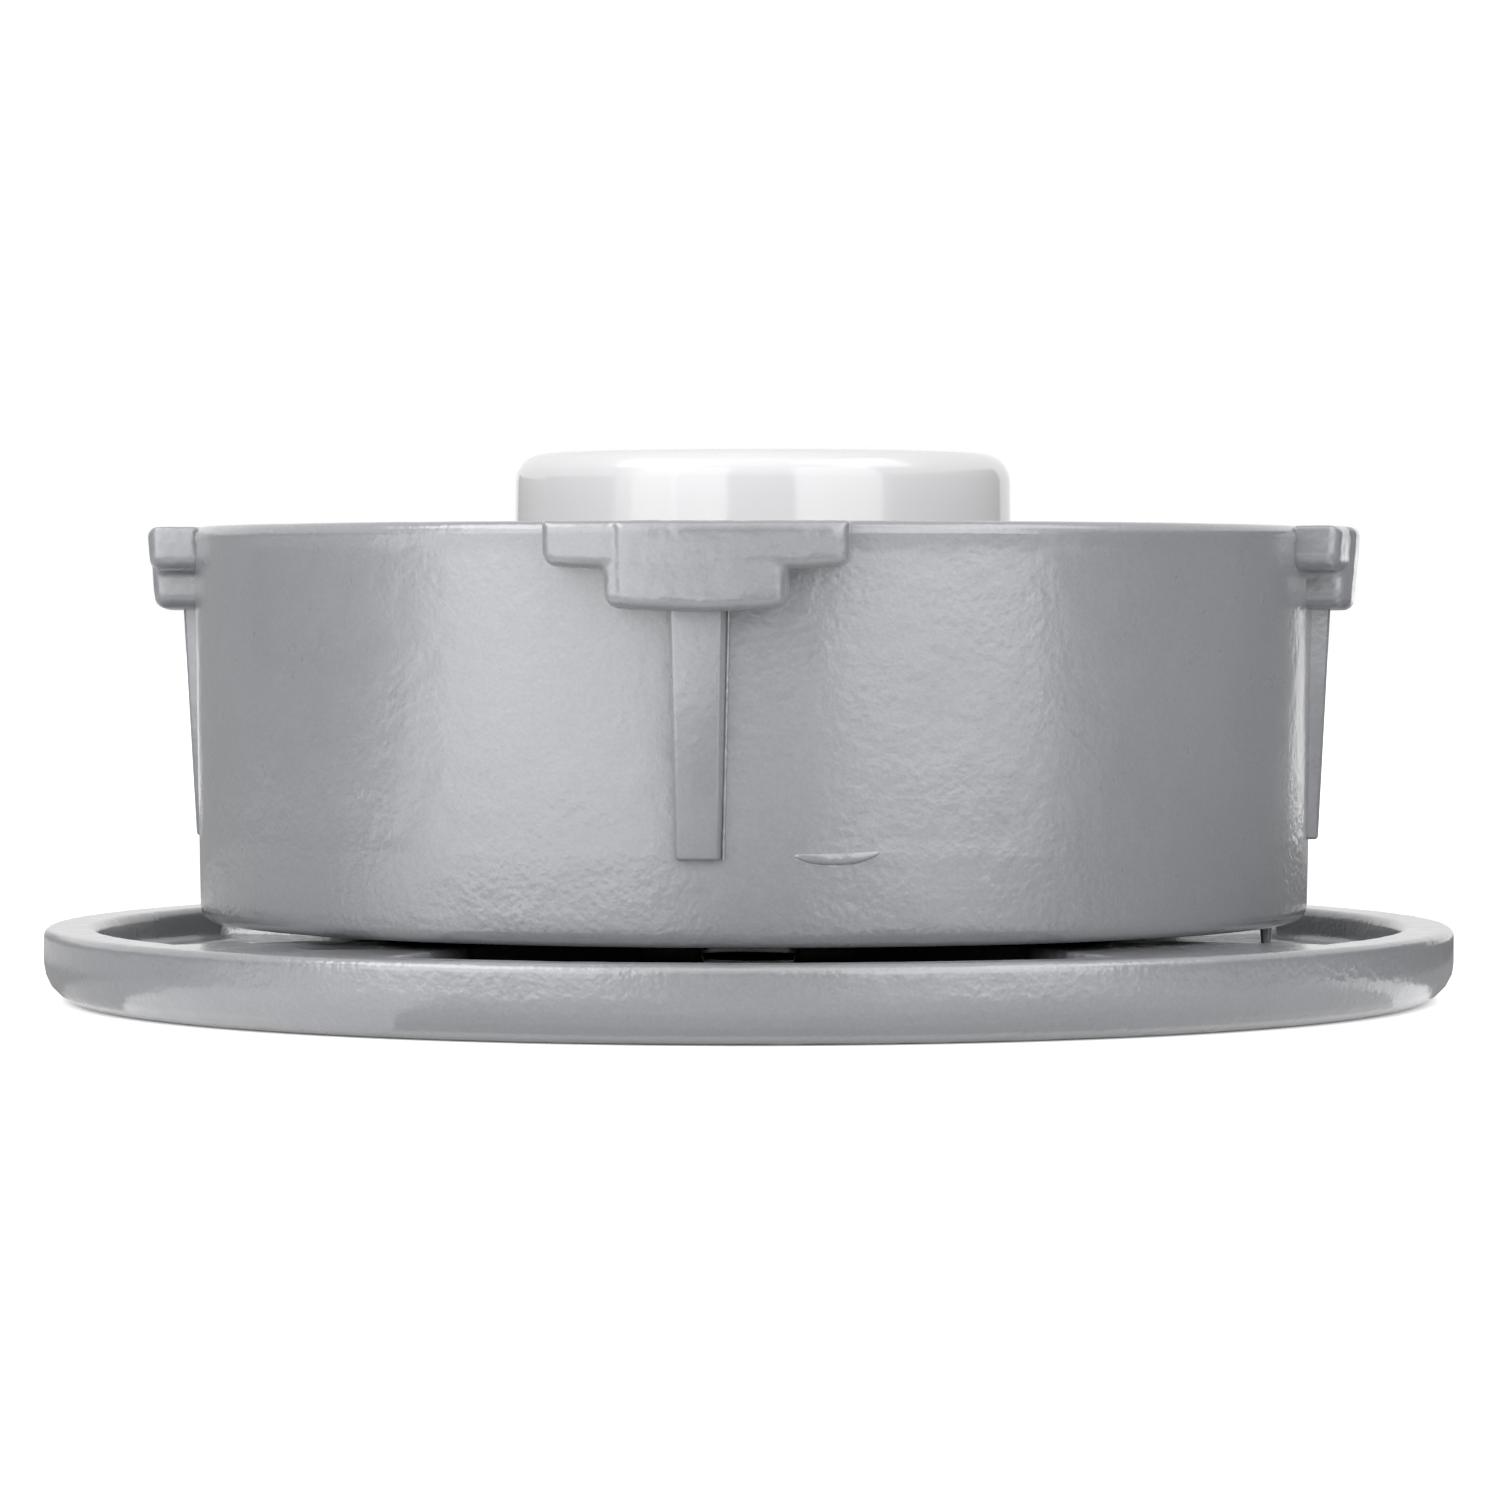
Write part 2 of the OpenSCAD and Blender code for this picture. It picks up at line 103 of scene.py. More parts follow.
class GrateSizes(bpy.types.PropertyGroup):
    radius: length("Radius", "Outside radius of the grate", grate_high.y)
    thickness: length("Thickness", "Height of the rim", 7.3 * MM)
    rim_width: length("Rim width", "Width of the rim around the recess", 5.2 * MM)
    rim_round: length("Rim round", "Round on both edges of the rim", 0.9 * MM)
    face_round: length("Face round", "Round on the outer edge of the walking face", 4 * MM)
    floor: length("Floor", "Thickness of the bars", 4 * MM)
    web_top: length("Web top", "Height of the webs and of the hub's ring", 7.1 * MM)
    web_width: length("Web width", "Width of the webs at the hub", 16 * MM)
    web_end_width: length("Web end width", "Width of the webs at the rim", 33 * MM)
    web_flare: length("Web flare", "Length of the flared end of a web", 20 * MM)
    hub_radius: length("Hub radius", "Outside radius of the hub", 23 * MM)
    hub_ring: length("Hub ring", "Width of the hub's raised ring", 4 * MM)
    notch_width: length("Notch width", "Width of the notches in the hub's ring", 9 * MM)
    lift_radius: length("Lifting hole", "Radius of the lifting hole", 6 * MM)
    key_radius: length("Key hole", "Radius of the holes for a turning key", 4 * MM)
    key_circle: length("Key circle", "Radius of the circle that the key holes are on", 53 * MM)
    pad_radius: length("Pad radius", "Radius of the pads under the housing", 6.5 * MM)
    screw_circle: length("Screw circle", "Radius of the circle that the screws are on", 38 * MM)
    tapped_radius: length("Tapped hole", "Radius of the holes for the screws", 2.55 * MM)
    tapped_foot: length("Tapped hole foot", "Height at which the tapped holes end", 2.5 * MM)
    slot_width: length("Slot width", "Width of the straight slots", 5 * MM)
    slot_turn: turn("Slot turn", "Angle between the straight slots", 12.5)
    slot_end: length("Slot end", "Radius at which the straight slots' ends are centred", 46 * MM)
    curved_width: length("Curved slot width", "Width of the curved slots", 7 * MM)
    curved_radius: length("Curved slot radius", "Radius of the curved slots' middle line",
                          59.15 * MM)
    curved_start: turn("Curved slot start", "Angle at which a curved slot's end is centred", 4.61)
    curved_stop: turn("Curved slot stop", "Angle at which its other end is centred", 26.16)
    grain: length("Grain", "Size of the small cubes that the cast bars are made from", 0.7 * MM)
    steps: IntProperty(name="Steps", description="Steps around the rim", default=480, min=48)


class HousingSizes(bpy.types.PropertyGroup):
    deck_radius: length("Deck radius", "Outside radius at the deck", 55 * MM)
    mouth_radius: length("Mouth radius", "Outside radius at the mouth", 55.7 * MM)
    deck: length("Deck", "Height of the deck's lower face", grate_high.z)
    deck_thickness: length("Deck thickness", "Thickness of the deck", 3 * MM)
    mouth: length("Mouth", "Height of the mouth", housing_high.z)
    wall: length("Wall", "Thickness of the wall", 4 * MM)
    deck_round: length("Deck round", "Round on the deck's outer edge", 1.4 * MM)
    mouth_round: length("Mouth round", "Round on the outer edge of the mouth", 1.1 * MM)
    lip: length("Lip", "How far the enamel's thick edge stands out at the mouth", 0.04 * MM)
    mouth_inner_round: length("Mouth inner round", "Round on the inner edge of the mouth", 0.5 * MM)
    inner_round: length("Inner round", "Round between the deck and the wall", 3 * MM)
    parting: length("Parting line", "Height of the mould's parting line", 16.3 * MM)
    parting_height: length("Parting height", "How far the parting line stands out", 0.012 * MM)
    boss_radius: length("Port boss", "Radius of the boss around the port", 26 * MM)
    boss_top: length("Port boss top", "Height of that boss", ring_low.z)
    port_radius: length("Port", "Radius of the port", 16.3 * MM)
    seat_radius: length("Port seat", "Radius of the seat for the tube's flange", 20.3 * MM)
    seat_top: length("Port seat top", "Height of the seat", gasket_high.z)
    screw_boss_radius: length("Screw boss", "Radius of the bosses for the screws", 6.5 * MM)
    screw_boss_top: length("Screw boss top", "Height of those bosses", washer_low.z)
    screw_hole_radius: length("Screw hole", "Radius of the holes for the screws", 3.25 * MM)
    steps: IntProperty(name="Steps", description="Steps around the wall", default=320, min=48)


class LugSizes(bpy.types.PropertyGroup):
    turn: turn("Turn", "How far the lugs are turned from the grate's quarters", -5.3)
    radius: length("Radius", "Radius over the lugs", 60.25 * MM)
    width: length("Width", "Width of the upper step", 28 * MM)
    step: length("Step", "Height of the upper step", 4.15 * MM)
    block_width: length("Block width", "Width of the lower block", 16.6 * MM)
    block: length("Block", "Height of the lower block", 3.75 * MM)
    set_back: length("Set back", "How far the face stands back on the left of the step in it",
                     0.4 * MM)
    draft: turn("Draft", "Draft on the outer face", 5)
    corner: length("Corner", "Round on the corners of the outline", 1.25 * MM)
    edge: length("Edge", "Round on the edges of the outer face", 1.0 * MM)
    crease: length("Crease", "Distance of the step in the face from the block's left edge",
                   1.0 * MM)
    bow: length("Bow", "How far the lower edges bow down", 0.36 * MM)
    grain: length("Grain", "Size of the small cubes that a lug is melted from", 0.24 * MM)
    softness: IntProperty(name="Softness", description="How far the lug's edges are softened",
                          default=4, min=0)
    rib_foot: length("Rib foot", "Height of the rib's tip", 15.95 * MM)
    rib_width: length("Rib width", "Width of the rib at the lug", 5.6 * MM)
    rib_tip: length("Rib tip", "Width of the rib at its tip", 4.5 * MM)
    rib_out: length("Rib out", "How far the rib stands out at the lug", 1.75 * MM)
    rib_tip_out: length("Rib tip out", "How far the rib stands out at its tip", 0.95 * MM)
    flank: length("Flank", "Width of the sloped flank on the rib's right-hand side", 0.45 * MM)
    left_flank: length("Left flank", "Width of the sloped flank on its left-hand side", 0.45 * MM)
    seam: length("Seam", "Radius of the fine seam along the rib", 0.14 * MM)
    post_circle: length("Post circle", "Radius of the circle that the post stands on", 51 * MM)
    post_width: length("Post width", "Width of the post along that circle", 3 * MM)
    post_top: length("Post top", "Thickness of the post at the deck", 1.3 * MM)
    post_foot: length("Post foot", "Thickness of the post at its foot", 0.7 * MM)


class CupSizes(bpy.types.PropertyGroup):
    end_radius: length("End radius", "Outside radius at the closed end", 24.6 * MM)
    rim_radius: length("Rim radius", "Outside radius at the rim", 25 * MM)
    rim: length("Rim", "Height of the rim", cup_low.z)
    end: length("End", "Height of the closed end", cup_high.z)
    wall: length("Wall", "Thickness of the wall", 2 * MM)
    end_thickness: length("End thickness", "Thickness of the closed end", 2.5 * MM)
    end_round: length("End round", "Round on the closed end", 2.75 * MM)
    rim_round: length("Rim round", "Round on the rim", 0.35 * MM)
    gate: length("Gate", "Radius of the moulding gate's hollow", 1.6 * MM)
    steps: IntProperty(name="Steps", description="Steps around the cup", default=192, min=48)


class TubeSizes(bpy.types.PropertyGroup):
    radius: length("Radius", "Outside radius of the dip tube", 16 * MM)
    bore: length("Bore", "Radius of the tube's bore", 14 * MM)
    foot: length("Foot", "Height of the flange's lower face", tube_low.z)
    end: length("End", "Height of the tube's end", tube_high.z)
    flange: length("Flange", "Radius of the flange", 20 * MM)
    flange_top: length("Flange top", "Height of the flange's upper face", gasket_low.z)
    gasket_top: length("Gasket top", "Height of the gasket's upper face", gasket_high.z)
    washer: length("Slip washer", "Radius of the slip washer", 21 * MM)
    washer_foot: length("Slip washer foot", "Height of its lower face", ring_low.z)
    washer_top: length("Slip washer top", "Height of its upper face", ring_high.z)
    nut_flats: length("Nut flats", "Half the width across the nut's flats", 20.5 * MM)
    nut_top: length("Nut top", "Height of the nut's upper face", nut_high.z)
    groove: length("Groove", "Radius of the groove for the spider", 15.6 * MM)
    collar: length("Collar", "Outside radius of the spider's collar", 17.2 * MM)
    collar_foot: length("Collar foot", "Height of the collar's lower face", spider_low.z + 2 * MM)
    collar_top: length("Collar top", "Height of the collar's upper face", spider_low.z + 10 * MM)
    vane_foot: length("Vane foot", "Height of the vanes' lower ends", spider_low.z)
    vane_top: length("Vane top", "Height of the vanes' upper ends", spider_high.z)
    vane_thickness: length("Vane thickness", "Thickness of a vane", 1.6 * MM)
    vane_bevel: length("Vane bevel", "Bevel at the vanes' upper ends", 1.5 * MM)


class FastenerSizes(bpy.types.PropertyGroup):
    shank: length("Shank", "Radius of the screws", 2.5 * MM)
    pitch: length("Pitch", "Pitch of the thread", 0.8 * MM)
    head: length("Head", "Radius of the screw heads", 4.5 * MM)
    head_height: length("Head height", "Height of the screw heads", 3.2 * MM)
    socket: length("Socket", "Half the width across the key socket's flats", 2 * MM)
    socket_depth: length("Socket depth", "Depth of the key socket", 2 * MM)
    hole: length("Washer hole", "Radius of the holes in the washers", 2.7 * MM)
    split: length("Split", "Width of the split in a spring washer", 0.6 * MM)


class Finish(bpy.types.PropertyGroup):
    paint: colour("Paint", "Colour of the satin enamel on the castings", (0.236, 0.240, 0.256))
    paint_dark: colour("Thin paint", "Colour of the enamel where it lies thin",
                       (0.214, 0.218, 0.233))
    paint_roughness: amount("Paint roughness", "Roughness of the enamel", 0.3)
    lump: length("Lump", "Size of the lumps that the casting gives the enamel", 0.7 * MM)
    lump_height: length("Lump height", "Height of those lumps", 0.046 * MM)
    white: colour("Cup white", "Colour of the cup's gloss plastic", (0.725, 0.72, 0.732))
    natural: colour("Natural plastic", "Colour of the spider's plastic", (0.70, 0.70, 0.67))
    brass: colour("Brass", "Colour of the tube and its nut", (0.66, 0.47, 0.20))
    steel: colour("Steel", "Colour of the screws and washers", (0.60, 0.60, 0.61))
    rubber: colour("Rubber", "Colour of the gasket", (0.022, 0.022, 0.024))
    fibre: colour("Fibre", "Colour of the slip washer", (0.26, 0.055, 0.035))


class StageSettings(bpy.types.PropertyGroup):
    lens: FloatProperty(name="Lens", description="Focal length of the camera in millimetres",
                        default=144.24, min=1.0)
    distance: length("Distance", "Distance of the camera from the grate's middle", 600 * MM)
    camera_side: length("Camera side", "How far the camera is to the right", 0.12 * MM)
    camera_height: length("Camera height", "Height of the camera above the bench", 39.6 * MM)
    tilt: turn("Tilt", "How far the camera looks down", 1.432)
    left_light: amount("Left light", "Brightness of the left softboxes", 3.02, 20.0)
    right_light: amount("Right light", "Brightness of the right softbox", 2.72, 20.0)
    room: amount("Room", "Brightness of the room around the bench", 0.62, 5.0)
    overhead: amount("Overhead", "Brightness of the sheets overhead, which only gloss sees",
                     5.5, 20.0)
    near_glow: amount("Near glow", "How far the bench is lifted to white at the grate's foot", 0.72)
    glow: amount("Glow", "How far the bench is lifted to white near the grate", 0.5)
    far_glow: amount("Far glow", "How far the bench is lifted to white further out", 0.85)


# ---- Making meshes ----

def flat_edges(bm, corners):
    """Joins corners (point, round) into one closed outline, and rounds those that ask for it."""
    verts = [bm.verts.new(point) for point, _ in corners]
    count = len(verts)
    for i in range(count):
        bm.edges.new((verts[i], verts[(i + 1) % count]))
    for i, (point, radius) in enumerate(corners):
        if radius > 0:
            to_last = (Vector(corners[i - 1][0]) - Vector(point)).normalized()
            to_next = (Vector(corners[(i + 1) % count][0]) - Vector(point)).normalized()
            reach = radius / math.tan(to_last.angle(to_next) / 2)
            bmesh.ops.bevel(bm, geom=[verts[i]], offset=reach, offset_type="OFFSET",
                            segments=ROUND_STEPS, profile=0.5, affect="VERTICES", material=-1,
                            clamp_overlap=False)


def tidy(bm):
    """Merges doubled points and turns every face outwards."""
    bmesh.ops.remove_doubles(bm, verts=bm.verts[:], dist=MERGE)
    bmesh.ops.recalc_face_normals(bm, faces=bm.faces[:])
    return bm


def turned(corners, at, steps, row=None):
    """A closed solid spun about a vertical axis. Each corner is (radius, height, round)."""
    bm = bmesh.new()
    flat_edges(bm, [(Vector((at.x + r, at.y, z)), radius) for r, z, radius in corners])
    if row:
        for edge in [e for e in bm.edges if e.calc_length() > 1.5 * row]:
            bmesh.ops.subdivide_edges(bm, edges=[edge], cuts=int(edge.calc_length() / row))
    bmesh.ops.spin(bm, geom=bm.verts[:] + bm.edges[:], cent=at, axis=UP, angle=2 * math.pi,
                   steps=steps, use_merge=True, use_duplicate=False)
    lost = [f for f in bm.faces if f.calc_area() < NO_AREA]
    bmesh.ops.delete(bm, geom=lost, context="FACES_ONLY")
    return tidy(bm)


def filled(corners):
    """A flat face inside an outline. Each corner is (point, round)."""
    bm = bmesh.new()
    flat_edges(bm, corners)
    bmesh.ops.contextual_create(bm, geom=bm.edges[:])
    return bm


def shifted(bm, offset):
    bmesh.ops.translate(bm, verts=bm.verts[:], vec=offset)
    return bm


def extruded(bm, offset):
    """Extrudes the flat faces in bm by an offset."""
    made = bmesh.ops.extrude_face_region(bm, geom=bm.faces[:])
    moved = [g for g in made["geom"] if isinstance(g, bmesh.types.BMVert)]
    bmesh.ops.translate(bm, verts=moved, vec=offset)
    return tidy(bm)


def ring_corners(inner, outer, low, high, rounds):
    """The corners of a ring's section. Its rounds start at the inner lower corner."""
    return list(zip((inner, outer, outer, inner), (low, low, high, high), rounds))


def lifted(bm, low, high):
    """Raises the flat faces in bm to the height low and extrudes them up to the height high."""
    return extruded(shifted(bm, UP * low), UP * (high - low))


def prism(corners, low, high):
    """An upright solid over an outline. Each corner is (x, y, round)."""
    return lifted(filled([(Vector((x, y, 0)), r) for x, y, r in corners]), low, high)


def disc(radius, at, low, high, steps=64):
    bm = bmesh.new()
    bmesh.ops.create_circle(bm, cap_ends=True, segments=steps, radius=radius,
                            matrix=Matrix.Translation(at))
    return lifted(bm, low, high)


def hexagon(flats, at, low, high):
    """An upright hexagon. flats is half the width across its flats."""
    return disc(flats / math.cos(math.radians(30)), at, low, high, 6)


def slot(reach, width, low, high, cuts=0):
    """A slot's shape along X with round ends, centred at the origin."""
    steps = 24
    bm = bmesh.new()
    bmesh.ops.create_circle(bm, cap_ends=True, segments=steps, radius=width / 2,
                            matrix=Matrix.Rotation(math.pi / steps, 4, "Z"))
    for vert in bm.verts:
        vert.co.x += math.copysign(reach / 2, vert.co.x)
    if cuts:
        sides = [e for e in bm.edges if e.calc_length() > reach / 2]
        bmesh.ops.subdivide_edges(bm, edges=sides, cuts=cuts)
    return lifted(bm, low, high)


def block(low, high, spread=()):
    """A box between two corners. spread moves the corners that a test picks: (test, offset)."""
    bm = bmesh.new()
    bmesh.ops.create_cube(bm, size=1.0)
    for vert in bm.verts:
        vert.co = Vector([lo + (c + 0.5) * (hi - lo) for c, lo, hi in zip(vert.co, low, high)])
    for test, offset in spread:
        for vert in bm.verts:
            if test(vert.co):
                vert.co += Vector(offset)
    return tidy(bm)


def bevel_sharp(bm, width, segments=3, limit=40, keep=None):
    """Rounds the edges where two faces meet at more than limit degrees."""
    sharp = [e for e in bm.edges if e.is_manifold and e.calc_face_angle() > math.radians(limit)
             and (keep is None or keep(e))]
    bmesh.ops.bevel(bm, geom=sharp, offset=width, offset_type="OFFSET", segments=segments,
                    profile=0.5, affect="EDGES", material=-1, clamp_overlap=True)
    return bm


def add(bm, *others):
    """Puts other meshes into bm, each as a shell of its own."""
    for other in others:
        mesh = bpy.data.meshes.new("shell")
        other.to_mesh(mesh)
        other.free()
        bm.from_mesh(mesh)
        bpy.data.meshes.remove(mesh)
    return bm


def rotated(bm, angle):
    bmesh.ops.rotate(bm, verts=bm.verts[:], cent=Vector(), matrix=Matrix.Rotation(angle, 3, "Z"))
    return bm


def quarters(make, first=0.0):
    """One mesh that holds four turned copies of what make() makes."""
    bm = bmesh.new()
    for i in range(4):
        add(bm, rotated(make(), first + i * math.pi / 2))
    return bm


def as_object(name, bm):
    mesh = bpy.data.meshes.new(name)
    bm.to_mesh(mesh)
    bm.free()
    made = bpy.data.objects.new(name, mesh)
    bpy.context.scene.collection.objects.link(made)
    return made


def settled(made):
    """Gives an object the mesh that its modifiers make, and takes the modifiers off."""
    graph = bpy.context.evaluated_depsgraph_get()
    mesh = bpy.data.meshes.new_from_object(made.evaluated_get(graph))
    made.modifiers.clear()
    old = made.data
    made.data = mesh
    bpy.data.meshes.remove(old)
    return made


def discard(made):
    mesh = made.data
    bpy.data.objects.remove(made)
    bpy.data.meshes.remove(mesh)


def combined(made, bm, operation):
    """Adds bm to an object's solid or cuts it away."""
    tool = as_object("tool", bm)
    step = made.modifiers.new("combine", "BOOLEAN")
    step.operation = operation
    step.solver = "EXACT"
    step.object = tool
    settled(made)
    discard(tool)


def cast(made, grain, smoothing):
    """Melts an object's solids into one casting with soft edges."""
    melt = made.modifiers.new("melt", "REMESH")
    melt.mode = "VOXEL"
    melt.voxel_size = grain
    soft = made.modifiers.new("soften", "SMOOTH")
    soft.factor = 0.5
    soft.iterations = smoothing
    return settled(made)


def reshaped(made, change):
    """Runs change(bm) on an object's mesh."""
    bm = bmesh.new()
    bm.from_mesh(made.data)
    change(bm)
    bm.to_mesh(made.data)
    bm.free()


def lumpy(bm, height, size, seed, low, high):
    """Moves points along their normals in smooth lumps, and keeps them between two heights."""
    bm.normal_update()
    shift = Vector((seed, 2 * seed, -seed))
    moves = []
    for vert in bm.verts:
        swell = noise.noise(vert.co / size + shift)
        swell += 0.5 * noise.noise(vert.co * 2.3 / size - shift)
        moves.append(vert.normal * (height * swell))
    for vert, move in zip(bm.verts, moves):
        vert.co += move
        vert.co.z = min(max(vert.co.z, low), high)
    return bm


def held_in(bm, radius, at=Vector()):
    """Pulls points that stand outside a circle about at back onto it."""
    for vert in bm.verts:
        away = vert.co - at
        flat = math.hypot(away.x, away.y)
        if flat > radius:
            away.x *= radius / flat
            away.y *= radius / flat
            vert.co = at + away
    return bm


def dress(made, material, body, stands_for, sharp=50):
    """Finishes a piece: shading, material, its body and the CAD node that it stands for."""
    mesh = made.data
    bm = bmesh.new()
    bm.from_mesh(mesh)
    bm.normal_update()
    for face in bm.faces:
        face.smooth = True
    for edge in bm.edges:
        edge.smooth = not edge.is_manifold or edge.calc_face_angle() < math.radians(sharp)
    bm.to_mesh(mesh)
    bm.free()
    mesh.materials.clear()
    mesh.materials.append(material)
    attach(made, body)
    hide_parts(*stands_for)


# ---- Materials ----

class Nodes:
    """Builds one material's nodes from left to right."""

    def __init__(self, name):
        self.material = bpy.data.materials.new(name)
        self.material.use_nodes = True
        self.tree = self.material.node_tree
        self.shader = self.tree.nodes["Principled BSDF"]
        self.place = self.tree.nodes.new("ShaderNodeTexCoord").outputs["Object"]

    def node(self, kind, inputs=(), **settings):
        made = self.tree.nodes.new(kind)
        for key, value in settings.items():
            setattr(made, key, value)
        for key, value in dict(inputs).items():
            if isinstance(value, bpy.types.NodeSocket):
                self.tree.links.new(value, made.inputs[key])
            else:
                made.inputs[key].default_value = value
        return made

    def set(self, **values):
        for key, value in values.items():
            self.shader.inputs[key.replace("_", " ")].default_value = value

    def link(self, key, output):
        self.tree.links.new(output, self.shader.inputs[key])

    def noise(self, size, detail=2.0, rough=0.5, stretch=None):
        place = self.place
        if stretch:
            place = self.node("ShaderNodeMapping", {"Vector": place, "Scale": stretch}).outputs[0]
        return self.node("ShaderNodeTexNoise", {"Vector": place, "Scale": 1 / size,
                         "Detail": detail, "Roughness": rough}).outputs[0]

    def ramp(self, source, low, high, to_low=0.0, to_high=1.0):
        return self.node("ShaderNodeMapRange", {"Value": source, "From Min": low, "From Max": high,
                         "To Min": to_low, "To Max": to_high}).outputs[0]

    def math(self, operation, a, b):
        return self.node("ShaderNodeMath", {0: a, 1: b}, operation=operation).outputs[0]

    def reach(self, place=None):
        """Distance from the upright axis through a place's origin."""
        flat = self.node("ShaderNodeVectorMath", {0: place or self.place, 1: (1, 1, 0)},
                         operation="MULTIPLY")
        return self.node("ShaderNodeVectorMath", {0: flat.outputs[0]},
                         operation="LENGTH").outputs["Value"]

    def blend_colour(self, factor, a, b):
        made = self.tree.nodes.new("ShaderNodeMix")
        made.data_type = "RGBA"
        self.tree.links.new(factor, made.inputs[0])
        for key, shade in ((6, a), (7, b)):
            if isinstance(shade, bpy.types.NodeSocket):
                self.tree.links.new(shade, made.inputs[key])
            else:
                made.inputs[key].default_value = (*shade, 1)
        return made.outputs[2]

    def tint(self, factor, a, b):
        self.link("Base Color", self.blend_colour(factor, a, b))

    def roughen(self, source, low, high):
        """Drives the roughness with a noise, between two values."""
        self.link("Roughness", self.ramp(source, 0.3, 0.7, low, high))

    def bump(self, height, distance, after=None):
        inputs = {"Height": height, "Distance": distance, "Strength": 1.0}
        if after:
            inputs["Normal"] = after
        return self.node("ShaderNodeBump", inputs).outputs[0]

    def glow(self, strength):
        return self.node("ShaderNodeEmission", {"Color": WHITE, "Strength": strength}).outputs[0]

    def surface(self, shader):
        self.tree.links.new(shader, self.tree.nodes["Material Output"].inputs["Surface"])


def times(shade, share):
    return [share * c for c in shade]


def seen(tree):
    """1 where the camera looks, straight, by gloss or through glass, and 0 for other rays."""
    rays = tree.nodes.new("ShaderNodeLightPath").outputs
    either = rays["Is Camera Ray"]
    for key in ("Is Glossy Ray", "Is Transmission Ray"):
        most = tree.nodes.new("ShaderNodeMath")
        most.operation = "MAXIMUM"
        tree.links.new(either, most.inputs[0])
        tree.links.new(rays[key], most.inputs[1])
        either = most.outputs[0]
    return either


def cast_paint(finish):
    """Satin enamel over an as-cast skin, with painted shade that makes it dark and dull in the gap
    under the housing.
    """
    nodes = Nodes("cast_paint")
    cloud = nodes.noise(14 * MM, 3.0)
    speck = nodes.noise(0.35 * MM, 2.0)
    tone = nodes.math("ADD", nodes.math("MULTIPLY", cloud, 0.4),
                      nodes.math("MULTIPLY", speck, 0.6))
    enamel = nodes.blend_colour(nodes.ramp(tone, 0.38, 0.62), finish.paint_dark, finish.paint)
    height = nodes.node("ShaderNodeSeparateXYZ", {"Vector": nodes.place}).outputs[2]
    deck = grate_high.z
    # Painted shade: low in the gap under the housing's deck, and within 46 mm of the middle (fading
    # out by 49.5 mm), the enamel colour is blended to near black.
    gap = nodes.math("MINIMUM", nodes.ramp(height, 1.2 * MM, 3 * MM),
                     nodes.ramp(height, deck, deck + 0.4 * MM, 1.0, 0.0))
    painted_gap_shade = nodes.math("MINIMUM", gap, nodes.ramp(nodes.reach(), 46 * MM, 49.5 * MM, 1.0, 0.0))
    nodes.tint(painted_gap_shade, enamel, (0.03, 0.03, 0.032))
    nodes.roughen(nodes.noise(3 * MM), finish.paint_roughness - 0.03, finish.paint_roughness + 0.04)
    nodes.set(IOR=1.6, Coat_Roughness=0.16, Coat_IOR=1.5)
    # The same painted shade also fades the coat and the specular level out in that gap.
    nodes.link("Coat Weight", nodes.ramp(painted_gap_shade, 0.0, 1.0, 0.8, 0.0))
    nodes.link("Specular IOR Level", nodes.ramp(painted_gap_shade, 0.0, 1.0, 0.5, 0.05))
    patches = nodes.ramp(nodes.noise(11 * MM, 1.0), 0.35, 0.62, 0.45, 1.0)
    rough_foot = nodes.ramp(height, housing_low.z + 6 * MM, housing_low.z + 15 * MM, 1.5, 0.8)
    lumps = nodes.math("MULTIPLY", nodes.noise(finish.lump, 1.0, 0.45),
                       nodes.math("MULTIPLY", patches, rough_foot))
    wavy = nodes.bump(nodes.noise(2.6 * MM, 1.0), 0.06 * MM)
    lumpy_skin = nodes.bump(lumps, finish.lump_height, after=wavy)
    fine = nodes.bump(nodes.noise(0.25 * MM, 1.0), 0.013 * MM, after=lumpy_skin)
    nodes.link("Normal", fine)
    nodes.link("Coat Normal", nodes.bump(nodes.noise(0.3 * MM, 1.0), 0.005 * MM, after=lumpy_skin))
    return nodes.material


def gloss_plastic(finish):
    """White injection-moulded plastic with faint sink marks."""
    nodes = Nodes("gloss_plastic")
    tone = nodes.ramp(nodes.noise(9 * MM, 2.0), 0.35, 0.65)
    nodes.tint(tone, finish.white, times(finish.white, 0.985))
    nodes.roughen(nodes.noise(2 * MM), 0.08, 0.12)
    nodes.set(IOR=1.5)
    sink = nodes.bump(nodes.noise(8 * MM, 1.0), 0.06 * MM)
    skin = nodes.bump(nodes.noise(0.4 * MM, 2.0), 0.0022 * MM, after=sink)
    nodes.link("Normal", skin)
    return nodes.material


def guide_plastic(finish):
    """Natural, unpainted plastic with a fine spark-eroded grain."""
    nodes = Nodes("guide_plastic")
    tone = nodes.ramp(nodes.noise(4 * MM, 2.0), 0.35, 0.65)
    nodes.tint(tone, finish.natural, times(finish.natural, 0.96))
    nodes.roughen(nodes.noise(1 * MM), 0.42, 0.52)
    nodes.link("Normal", nodes.bump(nodes.noise(0.18 * MM, 1.0), 0.008 * MM))
    nodes.set(IOR=1.5)
    return nodes.material


def rings_about(nodes, at, pitch):
    """Fine tool marks that run round a vertical axis, as a lathe leaves them."""
    place = nodes.node("ShaderNodeMapping",
                       {"Vector": nodes.place, "Location": (-at.x, -at.y, 0)}).outputs[0]
    height = nodes.node("ShaderNodeSeparateXYZ", {"Vector": place}).outputs[2]
    along = nodes.math("ADD", height, nodes.reach(place))
    fine = nodes.node("ShaderNodeCombineXYZ", {"X": 0.0, "Y": 0.0, "Z": along}).outputs[0]
    return nodes.node("ShaderNodeTexNoise",
                      {"Vector": fine, "Scale": 1 / pitch, "Detail": 2.0}).outputs[0]


